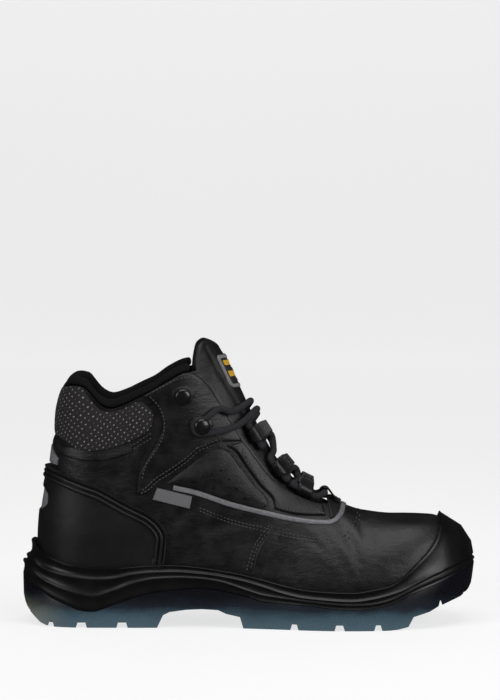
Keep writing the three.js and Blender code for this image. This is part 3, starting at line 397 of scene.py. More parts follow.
    def throat_gap(self, along: Array | float) -> Array:
        """Half the throat's width."""
        share = (np.atleast_1d(along) - self.throat_top) / (self.throat_end - self.throat_top)
        t = np.clip(share, 0, 1)
        return self.throat / 2 * mix(1, self.throat_taper, t) * np.sqrt(1 - t**8)

    def edge_rise(self, u: Array, side: Array) -> Array:
        """The rise of the upper's top edge: the collar, the throat, and the crest beyond."""
        s = self.station(u, side)
        collar = self.rise_at_height(u, side, self.top_at(s["along"]))
        throat = self.rise_at_gap(u, side, self.throat_gap(s["along"]))
        return np.where(s["along"] >= self.throat_end - 1e-3, QUARTER, np.minimum(collar, throat))


LAST = Last()


@dataclass
class Domain:
    """The wall unrolled: p runs round the foot from the back of the heel, in about millimetres.

    p is negative on the lateral side and positive on the medial side, and z is the height.
    """

    heel_arc: float = 55.0

    def station(self, p: Array) -> tuple[Array, Array]:
        """The station and the side of places round the foot."""
        far = np.abs(p) - self.heel_arc
        flank = LAST.toe_centre - LAST.heel_centre
        u = np.where(far < 0, far / self.heel_arc, far / flank)
        return u, np.where(np.asarray(p) < 0, -1.0, 1.0)

    def place(self, u: Array) -> Array:
        """How far round the foot a station lies, on either side."""
        flank = LAST.toe_centre - LAST.heel_centre
        return np.where(u < 0, (u + 1) * self.heel_arc, self.heel_arc + u * flank)

    def unroll(self, points: Array) -> Array:
        """Side-view points on the wall, as p (always positive) and z.

        Args:
            points: Rows of along and level.

        Returns:
            Rows of p and z.
        """
        points = np.asarray(points, float)
        x = LAST.x(points[:, 0])
        z = LAST.z(points[:, 1])
        side = np.full(len(x), -1.0)

        def ahead(u: Array) -> Array:
            """How far ahead of the points a station lies at their heights."""
            rise = LAST.rise_at_height(u, side, z)
            return LAST.point(u, side, rise)[:, 0] - x

        u = solve(ahead, np.full(len(x), -1.0), np.full(len(x), 1.0))
        return np.stack([self.place(u), z], axis=-1)

    def wrap(self, flat: Array, distance: Array | float) -> Array:
        """Points of the unrolled wall, placed in space at a distance outside it."""
        u, side = self.station(flat[..., 0])
        rise = LAST.rise_at_height(u, side, flat[..., 1])
        return LAST.outside(u, side, rise, np.broadcast_to(distance, u.shape))


DOMAIN = Domain()


def smooth_line(points: Array, closed: bool, step: float = 1.2, corner: float = 52.0) -> Array:
    """Rounds a chain of points and keeps its sharp corners.

    Args:
        points: The chain's points in a plane.
        closed: Whether the last point joins the first.
        step: About how far apart the new points are.
        corner: The turn in degrees from which a corner stays sharp.

    Returns:
        The new points.
    """
    count = len(points)
    ahead = np.roll(points, -1, axis=0)
    behind = np.roll(points, 1, axis=0)
    into = unit(points - behind)
    out = unit(ahead - points)
    turn = np.degrees(np.arccos(np.clip((into * out).sum(-1), -1, 1)))
    tangent = unit(into + out)
    soft = turn < corner
    if not closed:
        soft[[0, -1]] = False
    made = []
    for i in range(count if closed else count - 1):
        j = (i + 1) % count
        span = float(np.linalg.norm(points[j] - points[i]))
        chord = unit(points[j] - points[i])
        start = (tangent[i] if soft[i] else chord) * span
        end = (tangent[j] if soft[j] else chord) * span
        steps = max(2, round(span / step))
        t = (np.arange(steps) / steps)[:, None]
        made.append(
            points[i] * (1 - t) ** 2 * (1 + 2 * t)
            + points[j] * t**2 * (3 - 2 * t)
            + t * (1 - t) * (start * (1 - t) - end * t)
        )
    if not closed:
        made.append(points[-1:])
    return np.concatenate(made)


def travel(line: Array) -> Array:
    """How far along a chain each of its points lies."""
    return np.concatenate([[0], np.cumsum(np.linalg.norm(np.diff(line, axis=0), axis=1))])


def distance_to(points: Array, line: Array, closed: bool, batch: int = 4000) -> Array:
    """How far points in a plane lie from a chain of points, worked out in batches."""
    start = line if closed else line[:-1]
    end = np.roll(line, -1, axis=0) if closed else line[1:]
    run = end - start
    length = np.maximum((run**2).sum(-1), 1e-12)
    best = np.full(len(points), np.inf)
    for first in range(0, len(points), batch):
        part = points[first : first + batch]
        offset = part[:, None] - start[None]
        t = np.clip((offset * run).sum(-1) / length, 0, 1)
        gap = np.linalg.norm(offset - t[..., None] * run, axis=-1)
        best[first : first + batch] = gap.min(axis=1)
    return best


def inside(points: Array, line: Array) -> Array:
    """Whether points in a plane lie inside a closed chain of points."""
    x, y = points[:, 0], points[:, 1]
    result = np.zeros(len(points), bool)
    for (ax, ay), (bx, by) in zip(line, np.roll(line, -1, axis=0)):
        crosses = (ay > y) != (by > y)
        with np.errstate(divide="ignore", invalid="ignore"):
            at = ax + (y - ay) * (bx - ax) / (by - ay)
        result ^= crosses & (x < at)
    return result


def stations(turn_steps: int, flank_steps: int) -> Array:
    """Places round the foot from the heel to the toe, so many to each turn and to the flank."""
    heel = -1 + np.arange(turn_steps) / turn_steps
    flank = np.arange(flank_steps) / flank_steps
    toe = 1 + np.arange(turn_steps + 1) / turn_steps
    return np.concatenate([heel, flank, toe])


def within(points: Array, loops: Sequence[Array]) -> Array:
    """Whether points in a plane lie inside the first closed chain and outside the others."""
    in_hole = np.any([inside(points, hole) for hole in loops[1:]], axis=0)
    return inside(points, loops[0]) & ~in_hole


def make_object(
    name: str, points: Array, faces: Sequence[Sequence[int]], uv: Array | None = None
) -> bpy.types.Object:
    """Makes a mesh object in the frame from points in the last's coordinates.

    Args:
        name: The object's name.
        points: The vertices, in millimetres.
        faces: The faces, by the vertices' indices.
        uv: A flat place for each vertex, in millimetres, kept as a UV map.

    Returns:
        The object, linked to the scene.
    """
    mesh = bpy.data.meshes.new(name)
    placed = (np.asarray(points).reshape(-1, 3) - FRAME_ORIGIN) * MM
    mesh.from_pydata(placed.tolist(), [], [list(map(int, f)) for f in faces])
    if uv is not None:
        layer = mesh.uv_layers.new(name="UVMap")
        corner = np.zeros(len(mesh.loops), int)
        mesh.loops.foreach_get("vertex_index", corner)
        layer.data.foreach_set("uv", np.asarray(uv, float).reshape(-1, 2)[corner].ravel() / UV_UNIT)
    mesh.validate()
    mesh.shade_smooth()
    thing = bpy.data.objects.new(name, mesh)
    bpy.context.scene.collection.objects.link(thing)
    return thing


def sheet_faces(
    columns: int, rows: int, flip: bool = False, closed: bool = False, start: int = 0
) -> list[tuple[int, ...]]:
    """Faces of a sheet whose vertices are numbered column by column."""
    faces = []
    for i in range(columns if closed else columns - 1):
        for j in range(rows - 1):
            a = start + i * rows + j
            b = start + ((i + 1) % columns) * rows + j
            quad = (a, b, b + 1, a + 1)
            faces.append(quad[::-1] if flip else quad)
    return faces


def joining_faces(columns: int, rows: int, flip: bool = False, start: int = 0) -> list[tuple[int, ...]]:
    """Faces that join a sheet's last row to its first."""
    faces = []
    for a in range(start, start + (columns - 1) * rows, rows):
        quad = (a + rows - 1, a + 2 * rows - 1, a + rows, a)
        faces.append(quad[::-1] if flip else quad)
    return faces


def pipe_faces(columns: int, rows: int) -> list[tuple[int, ...]]:
    """Faces of a closed pipe whose rings are the sheet's columns, with a cap at each end."""
    last = (columns - 1) * rows
    caps = [tuple(range(rows)), tuple(reversed(range(last, last + rows)))]
    return sheet_faces(columns, rows) + joining_faces(columns, rows) + caps


def sharpen(thing: bpy.types.Object, degrees: float) -> None:
    """Keeps edges crisp where two faces meet at more than an angle."""
    thing.data.set_sharp_from_angle(angle=math.radians(degrees))


class Value:
    """A value in a material; sums and products on it add Math nodes."""

    def __init__(self, graph: Graph, socket: bpy.types.NodeSocket) -> None:
        """Keeps the material's graph and the socket."""
        self.graph = graph
        self.socket = socket

    def math(self, operation: str, *others: Value | float, swap: bool = False) -> Value:
        """Adds one Math node of an operation."""
        terms = [*others, self] if swap else [self, *others]
        return self.graph.node("ShaderNodeMath", {"operation": operation}, dict(enumerate(terms)))

    def __add__(self, other: Value | float) -> Value:
        """The sum."""
        return self.math("ADD", other)

    __radd__ = __add__

    def __sub__(self, other: Value | float) -> Value:
        """The difference."""
        return self.math("SUBTRACT", other)

    def __rsub__(self, other: float) -> Value:
        """The difference from a number."""
        return self.math("SUBTRACT", other, swap=True)

    def __mul__(self, other: Value | float) -> Value:
        """The product."""
        return self.math("MULTIPLY", other)

    __rmul__ = __mul__

    def __truediv__(self, other: Value | float) -> Value:
        """The quotient."""
        return self.math("DIVIDE", other)

    def __pow__(self, other: float) -> Value:
        """The power."""
        return self.math("POWER", other)

    def sine(self) -> Value:
        """The sine."""
        return self.math("SINE")

    def wave(self, period: float) -> Value:
        """A wave between 0 and 1 of a period."""
        return (self * (2 * math.pi / period)).sine() * 0.5 + 0.5

    def step(self, low: float, high: float) -> Value:
        """A soft step from 0 at low to 1 at high."""
        settings = {"interpolation_type": "SMOOTHSTEP"}
        inputs = {"Value": self, "From Min": low, "From Max": high}
        return self.graph.node("ShaderNodeMapRange", settings, inputs)


Input = Value | float | tuple[float, ...]


class Graph:
    """The nodes of one material."""

    def __init__(self, name: str) -> None:
        """Starts a material with a shader and its output."""
        self.material = bpy.data.materials.new(name)
        self.material.use_nodes = True
        self.tree = self.material.node_tree
        self.shader = self.tree.nodes["Principled BSDF"]

    def node(
        self,
        kind: str,
        settings: dict[str, object] | None = None,
        inputs: dict[int | str, Input] | None = None,
        output: int | str = 0,
    ) -> Value:
        """Adds a node.

        Args:
            kind: The node's type.
            settings: Its own settings, set first; stops are a ramp's places and colours.
            inputs: Values or links, by the socket's name or number.
            output: The socket that the value is read from.

        Returns:
            The output as a value.
        """
        made = self.tree.nodes.new(kind)
        for key, value in (settings or {}).items():
            if key == "stops":
                ramp = made.color_ramp.elements
                while len(ramp) < len(value):
                    ramp.new(0.5)
                for element, (place, colour) in zip(ramp, value):
                    element.position = place
                    element.color = (*colour, 1.0)
            else:
                setattr(made, key, value)
        for key, value in (inputs or {}).items():
            self.feed(made.inputs[key], value)
        return Value(self, made.outputs[output])

    def feed(self, socket: bpy.types.NodeSocket, value: Input) -> None:
        """Links or sets one socket."""
        if isinstance(value, Value):
            self.tree.links.new(value.socket, socket)
        elif isinstance(value, tuple) and len(value) == 3 and socket.type == "RGBA":
            socket.default_value = (*value, 1.0)
        else:
            socket.default_value = value

    def place(self) -> Value:
        """The object's coordinates, in millimetres."""
        raw = self.node("ShaderNodeTexCoord", output="Object")
        return self.scale(raw, 1 / MM)

    def flat(self) -> Value:
        """The UV map's coordinates, in millimetres."""
        raw = self.node("ShaderNodeTexCoord", output="UV")
        return self.scale(raw, UV_UNIT)

    def scale(self, vector: Value, factor: float) -> Value:
        """A vector times a number."""
        return self.node("ShaderNodeVectorMath", {"operation": "SCALE"}, {0: vector, "Scale": factor})

    def stretch(self, vector: Value, factors: tuple[float, float, float]) -> Value:
        """A vector stretched along its axes."""
        return self.node("ShaderNodeVectorMath", {"operation": "MULTIPLY"}, {0: vector, 1: factors})

    def split(self, vector: Value, axis: int) -> Value:
        """One coordinate of a vector."""
        return self.node("ShaderNodeSeparateXYZ", inputs={0: vector}, output=axis)

    def noise(self, vector: Value, scale: float, detail: float = 3.0, rough: float = 0.5) -> Value:
        """Noise whose lumps are about one over the scale wide."""
        inputs = {"Vector": vector, "Scale": scale, "Detail": detail, "Roughness": rough}
        return self.node("ShaderNodeTexNoise", inputs=inputs)

    def cells(self, vector: Value, scale: float, feature: str = "F1") -> Value:
        """Distance in a pattern of cells."""
        return self.node("ShaderNodeTexVoronoi", {"feature": feature}, {"Vector": vector, "Scale": scale})

    def blend(self, factor: Value | float, first: Input, second: Input) -> Value:
        """A colour between two colours."""
        settings = {"data_type": "RGBA", "clamp_factor": True}
        return self.node("ShaderNodeMix", settings, {0: factor, 6: first, 7: second}, output=2)

    def relief(self, layers: Sequence[tuple[Value, float]]) -> Value:
        """Bumps, each a height and its depth in millimetres, added one on another."""
        normal = None
        for height, depth in layers:
            inputs: dict[int | str, Input] = {"Height": height, "Distance": depth * MM, "Strength": 1.0}
            if normal is not None:
                inputs["Normal"] = normal
            normal = self.node("ShaderNodeBump", inputs=inputs)
        return normal

    def finish(self, **inputs: Input) -> bpy.types.Material:
        """Feeds the shader's sockets, named with underscores, and gives the material."""
        for name, value in inputs.items():
            self.feed(self.shader.inputs[name.replace("_", " ").title().replace("Ior", "IOR")], value)
        return self.material


class Finish:
    """A look that a piece can be given. Each kind adds its own nodes to a material of its name."""

    name: str

    def material(self) -> bpy.types.Material:
        """Builds the material."""
        return self.paint(Graph(self.name))

    def paint(self, g: Graph) -> bpy.types.Material:
        """Adds the nodes and gives the material."""
        raise NotImplementedError


@dataclass(frozen=True)
class Leather(Finish):
    """Smooth dyed leather with a fine grain and a soft sheen."""

    name: str
    dark: Rgb = (0.0035, 0.0032, 0.0036)
    light: Rgb = (0.0115, 0.0108, 0.0115)
    roughness: float = 0.42
    grain: float = 0.10
    coat: float = 0.12

    def paint(self, g: Graph) -> bpy.types.Material:
        """Adds the nodes and gives the material."""
        at = g.place()
        mottle = g.noise(at, 0.09, 4.0, 0.6)
        pores = g.cells(at, 1.1)
        grain = g.noise(at, 1.6, 5.0, 0.62)
        wrinkle = g.noise(g.stretch(at, (0.6, 0.6, 1.5)), 0.22, 4.0, 0.55)
        colour = g.blend(mottle.step(0.3, 0.72), self.dark, self.light)
        dust = g.noise(at, 0.35, 6.0, 0.7).step(0.62, 0.82) * 0.22
        colour = g.blend(dust, colour, (0.034, 0.032, 0.033))
        rough = mottle * 0.14 + grain * 0.12 + (self.roughness - 0.13)
        normal = g.relief([(wrinkle, 0.45), (pores, self.grain), (grain, self.grain)])
        return g.finish(
            base_color=colour, roughness=rough, coat_weight=self.coat, coat_roughness=0.3,
            specular_ior_level=0.45, normal=normal,
        )


@dataclass(frozen=True)
class Moulded(Finish):
    """Black moulded rubber or plastic with a fine spark-eroded skin and a little wear."""

    name: str
    colour: Rgb
    worn: Rgb
    roughness: float
    skin: float = 0.05
    wear: float = 0.3

    def paint(self, g: Graph) -> bpy.types.Material:
        """Adds the nodes and gives the material."""
        at = g.place()
        patch = g.noise(at, 0.06, 4.0, 0.6)
        fine = g.noise(at, 2.6, 3.0, 0.6)
        scuff = g.noise(g.stretch(at, (0.25, 1.0, 1.4)), 0.5, 6.0, 0.68).step(0.6, 0.84) * self.wear
        colour = g.blend(scuff + patch.step(0.4, 0.8) * 0.12, self.colour, self.worn)
        rough = patch * 0.16 + fine * 0.08 + scuff * 0.3 + (self.roughness - 0.12)
        normal = g.relief([(fine, self.skin), (patch, 0.3)])
        return g.finish(base_color=colour, roughness=rough, specular_ior_level=0.5, normal=normal)


@dataclass(frozen=True)
class Outsole(Finish):
    """Clear grey-blue rubber that darkens towards the foam above it."""

    name: str = "clear rubber"
    low: float = 0.0
    high: float = 24.0

    def paint(self, g: Graph) -> bpy.types.Material:
        """Adds the nodes and gives the material."""
        at = g.place()
        cloud = g.noise(g.stretch(at, (0.6, 1.0, 1.2)), 0.07, 4.0, 0.6)
        height = g.split(at, 2) + (cloud - 0.5) * 9.0
        fade = height.step(self.low, self.high)
        tint = g.node(
            "ShaderNodeValToRGB",
            {
                "stops": [
                    (0.0, (0.075, 0.13, 0.165)),
                    (0.3, (0.045, 0.085, 0.112)),
                    (0.62, (0.013, 0.02, 0.03)),
                    (1.0, (0.004, 0.004, 0.007)),
                ]
            },
            {"Fac": fade},
        )
        heel = (-1.0 * g.split(at, 0)).step(118.0, 152.0) * (1.0 - height.step(4.0, 22.0)) * 0.55
        colour = g.blend(heel, tint, (0.28, 0.275, 0.2))
        fine = g.noise(at, 1.3, 4.0, 0.6)
        rough = fine * 0.16 + cloud * 0.1 + 0.16
        normal = g.relief([(fine, 0.06)])
        return g.finish(
            base_color=colour, roughness=rough, coat_weight=0.35, coat_roughness=0.2, ior=1.5, normal=normal
        )


@dataclass(frozen=True)
class Textile(Finish):
    """A plain woven or brushed cloth."""

    name: str
    dark: Rgb
    light: Rgb
    pitch: float = 0.7
    roughness: float = 0.92

    def paint(self, g: Graph) -> bpy.types.Material:
        """Adds the nodes and gives the material."""
        at = g.place()
        warp = (g.split(at, 0) + g.split(at, 1)).wave(self.pitch)
        weft = (g.split(at, 2) + g.noise(at, 0.4, 2.0) * 0.5).wave(self.pitch)
        weave = warp * weft
        fuzz = g.noise(at, 1.1, 5.0, 0.7)
        colour = g.blend(weave * 0.5 + fuzz * 0.5, self.dark, self.light)
        normal = g.relief([(weave, 0.12), (fuzz, 0.1)])
        return g.finish(base_color=colour, roughness=self.roughness, specular_ior_level=0.2, normal=normal)


@dataclass(frozen=True)
class DottedMesh(Finish):
    """Dark spacer mesh with small light dots in slanting rows, read from the unrolled wall."""

    name: str = "dotted mesh"
    pitch: float = 2.9
    row: float = 3.4
    slant: float = 0.62

    def paint(self, g: Graph) -> bpy.types.Material:
        """Adds the nodes and gives the material."""
        flat = g.flat()
        p, z = g.split(flat, 0), g.split(flat, 1)
        ahead = p * math.cos(self.slant) + z * math.sin(self.slant)
        up = z * math.cos(self.slant) - p * math.sin(self.slant)
        wobble = g.noise(flat, 0.45, 3.0, 0.6)
        along = (ahead + wobble * 0.8).wave(self.pitch)
        rows = (up + wobble * 0.8).wave(self.row)
        dots = (along * rows).step(0.66, 0.86)
        holes = ((ahead + self.pitch / 2).wave(self.pitch) * rows).step(0.62, 0.9)
        fuzz = g.noise(flat, 2.2, 4.0, 0.65)
        ground = g.blend(fuzz, (0.0105, 0.0095, 0.01), (0.032, 0.029, 0.031))
        colour = g.blend(dots * g.noise(flat, 0.3, 3.0).step(0.3, 0.62), ground, (0.26, 0.245, 0.25))
        normal = g.relief([(holes * -1.0, 0.35), (dots, 0.3), (fuzz, 0.12)])
        return g.finish(base_color=colour, roughness=0.85, specular_ior_level=0.25, normal=normal)


@dataclass(frozen=True)
class Reflective(Finish):
    """Grey reflective tape: fine cells under a satin skin."""

    name: str = "reflective tape"
    colour: Rgb = (0.155, 0.15, 0.162)
    light: Rgb = (0.235, 0.23, 0.245)

    def paint(self, g: Graph) -> bpy.types.Material:
        """Adds the nodes and gives the material."""
        at = g.place()
        cells = g.cells(at, 1.7, "DISTANCE_TO_EDGE")
        wear = g.noise(at, 0.3, 5.0, 0.65)
        colour = g.blend(wear.step(0.3, 0.75), self.colour, self.light)
        colour = g.blend(cells.step(0.12, 0.0) * 0.35, colour, (0.09, 0.088, 0.092))
        rough = wear * 0.2 + 0.3
        normal = g.relief([(cells, 0.05), (wear, 0.12)])
        return g.finish(base_color=colour, roughness=rough, metallic=0.15, normal=normal)


@dataclass(frozen=True)
class Braid(Finish):
    """Round braided cord, read from a map that runs round it and along it."""

    name: str = "braided cord"
    dark: Rgb = (0.006, 0.0055, 0.0065)
    light: Rgb = (0.034, 0.031, 0.036)
    pitch: float = 1.5

    def paint(self, g: Graph) -> bpy.types.Material:
        """Adds the nodes and gives the material."""
        flat = g.flat()
        around, along = g.split(flat, 0), g.split(flat, 1)
        left = (along + around).wave(self.pitch)
        right = (along - around).wave(self.pitch)
        strands = left.math("MAXIMUM", right)
        fuzz = g.noise(g.place(), 2.0, 4.0, 0.7)
        colour = g.blend(strands * 0.8 + fuzz * 0.2, self.dark, self.light)
        normal = g.relief([(strands, 0.28), (fuzz, 0.08)])
        return g.finish(base_color=colour, roughness=0.8, specular_ior_level=0.3, normal=normal)


@dataclass(frozen=True)
class Lacquer(Finish):
    """Black lacquered metal."""

    name: str = "black lacquer"

    def paint(self, g: Graph) -> bpy.types.Material:
        """Adds the nodes and gives the material."""
        at = g.place()
        wear = g.noise(at, 0.5, 5.0, 0.6)
        colour = g.blend(wear.step(0.6, 0.8) * 0.5, (0.010, 0.010, 0.011), (0.05, 0.05, 0.052))
        rough = wear * 0.15 + 0.2
        normal = g.relief([(g.noise(at, 1.8, 3.0), 0.02)])
        return g.finish(base_color=colour, roughness=rough, metallic=0.4, coat_weight=0.4, normal=normal)


@dataclass(frozen=True)
class Thread(Finish):
    """Dark waxed sewing thread."""

    name: str = "waxed thread"

    def paint(self, g: Graph) -> bpy.types.Material:
        """Adds the nodes and gives the material."""
        at = g.place()
        twist = (g.split(at, 0) + g.split(at, 2)).wave(0.5)
        tone = twist * 0.6 + g.noise(at, 0.8, 3.0) * 0.4
        colour = g.blend(tone, (0.035, 0.034, 0.036), (0.11, 0.107, 0.112))
        normal = g.relief([(twist, 0.08)])
        return g.finish(base_color=colour, roughness=0.55, normal=normal)


@dataclass
class Finishes:
    """Every finish of the boot, made once."""

    made: dict[str, bpy.types.Material] = field(default_factory=dict)

    def of(self, finish: Finish) -> bpy.types.Material:
        """The material of a finish."""
        if finish.name not in self.made:
            self.made[finish.name] = finish.material()
        return self.made[finish.name]

    def give(self, thing: bpy.types.Object, finish: Finish) -> None:
        """Makes a finish the only material of a piece."""
        thing.data.materials.clear()
        thing.data.materials.append(self.of(finish))


FINISHES = Finishes()
LEATHER = Leather("black leather")
PANEL_LEATHER = Leather("padded leather", (0.004, 0.0037, 0.004), (0.0135, 0.0128, 0.0135), 0.46, 0.14, 0.08)
COUNTER_PLASTIC = Moulded(
    "counter plastic", (0.0055, 0.0052, 0.0056), (0.032, 0.031, 0.033), 0.46, 0.06, 0.22
)
FOAM = Moulded("black foam", (0.0035, 0.0033, 0.0036), (0.036, 0.035, 0.037), 0.36, 0.05, 0.2)
LINING = Textile("black lining", (0.0025, 0.0023, 0.0026), (0.0105, 0.0098, 0.0103), 0.8)
FOOTBED = Textile("footbed cloth", (0.014, 0.014, 0.015), (0.042, 0.042, 0.044), 1.1)
TAG_CLOTH = Textile("grey woven tape", (0.1, 0.098, 0.103), (0.2, 0.196, 0.205), 0.6, 0.7)


def dress(thing: bpy.types.Object, finish: Finish, slot: str, *nodes: str) -> bpy.types.Object:
    """Gives a piece its finish, hides the frame's nodes that it stands for, and reports it.

    Args:
        thing: The piece.
        finish: Its finish.
        slot: The record's material slot; not used.
        nodes: The frame's nodes that it replaces.

    Returns:
        The piece.
    """
    FINISHES.give(thing, finish)
    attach(thing, "root")
    if nodes:
        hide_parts(*nodes)
    LOG.info("%s: %d faces", thing.name, len(thing.data.polygons))
    return thing


@dataclass
class Crease:
    """One soft trough of the leather, with a ridge beside it, in the side view."""

    along: float
    level: float
    length: float
    slant: float
    width: float
    depth: float

    def depth_at(self, x: Array, z: Array) -> Array:
        """How far the crease sinks the leather at points."""
        dx = x - LAST.x(self.along)
        dz = z - LAST.z(self.level)
        run = dx * math.cos(self.slant) + dz * math.sin(self.slant)
        off = dz * math.cos(self.slant) - dx * math.sin(self.slant)
        off = off + 0.006 * run**2
        taper = np.exp(-((2 * run / self.length) ** 2) * 1.4)
        trough = bump(off, self.width)
        ridge = bump(off - self.width * 1.3, self.width) * 0.55
        return self.depth * taper * (trough - ridge)


@dataclass
class Upper:
    """The leather wall: open at the collar, the throat and underneath."""

    flank_steps: int = 96
    turn_steps: int = 26
    rows: int = 64
    crowding: float = 0.92
    edge_share: float = 0.04
    creases: list[Crease] = field(
        default_factory=lambda: [
            Crease(0.74, 0.2, 46, -1.1, 4.5, 0.9),
            Crease(0.7, 0.17, 40, -1.0, 3.5, 0.7),
            Crease(0.775, 0.23, 44, -1.2, 5.0, 0.6),
            Crease(0.66, 0.2, 34, -0.7, 4.0, 0.5),
            Crease(0.43, 0.3, 46, 0.25, 5.0, 0.7),
            Crease(0.5, 0.22, 50, 0.1, 6.0, 0.5),
            Crease(0.34, 0.36, 36, 0.6, 4.0, 0.6),
            Crease(0.05, 0.66, 30, 0.1, 4.0, 0.8),
            Crease(0.24, 0.62, 26, 1.2, 3.5, 0.6),
        ]
    )

    def sink(self, points: Array) -> Array:
        """How far the creases sink the wall."""
        x, z = points[..., 0], points[..., 2]
        return sum((crease.depth_at(x, z) for crease in self.creases), np.zeros_like(x))

    def build(self) -> bpy.types.Object:
        """Makes the wall."""
        u = stations(self.turn_steps, self.flank_steps)
        shares = np.linspace(0, 1, self.rows + 1) ** self.crowding
        points, faces = [], []
        start = 0
        for side in (-1.0, 1.0):
            edge = LAST.edge_rise(u, np.full(len(u), side))
            rise = edge[:, None] * shares[None]
            columns = np.broadcast_to(u[:, None], rise.shape)
            sides = np.full(rise.shape, side)
            outer = LAST.point(columns, sides, rise)
            sunk = -self.sink(outer)
            fade = smooth(0, self.edge_share, 1 - shares)[None]
            outer = LAST.outside(columns, sides, rise, sunk * fade)
            inner = LAST.outside(columns, sides, rise, -LAST.wall)
            inner[:, 0, 2] = outer[:, 0, 2]
            loop = np.concatenate([outer, inner[:, ::-1]], axis=1)
            rows = loop.shape[1]
            points.append(loop.reshape(-1, 3))
            faces += sheet_faces(len(u), rows, side > 0, start=start)
            faces += joining_faces(len(u), rows, side > 0, start)
            start += len(u) * rows
        wall = make_object("upper_leather", np.concatenate(points), faces)
        weld(wall, 0.02, 50)
        return dress(wall, LEATHER, "upper_leather", "upper")


def weld(thing: bpy.types.Object, distance: float, crisp: float | None = None) -> None:
    """Joins vertices that lie within a distance in millimetres, and faces the mesh outward.

    Args:
        thing: The mesh object.
        distance: Vertices that lie nearer than this become one.
        crisp: The angle in degrees from which its edges stay sharp.
    """
    mesh = bmesh.new()
    mesh.from_mesh(thing.data)
    bmesh.ops.remove_doubles(mesh, verts=mesh.verts, dist=distance * MM)
    bmesh.ops.recalc_face_normals(mesh, faces=mesh.faces)
    mesh.to_mesh(thing.data)
    mesh.free()
    thing.data.shade_smooth()
    if crisp is not None:
        sharpen(thing, crisp)


# The foam's side from below, line by line: the share of the way to the next line, the share of the
# margin, and a swell.
FOAM_PROFILE = {
    "parting": """
        0 0.93 0, 0.05 1 0, 0.3 0.97 -0.35, 0.6 0.9 -0.45, 0.84 0.86 -0.1, 0.93 0.9 0.35""",
    "wave": """
        0 0.86 0.5, 0.1 0.72 0.2, 0.3 0.62 -0.3, 0.62 0.57 -0.4, 0.84 0.55 0, 0.94 0.52 0.45""",
    "rib": """
        0 0.46 0.5, 0.14 0.2 0.1, 0.34 0.06 -0.2, 0.6 0.02 -0.15, 0.82 0 0.15, 0.93 0 0.5, 0.99 0 0.35""",
}


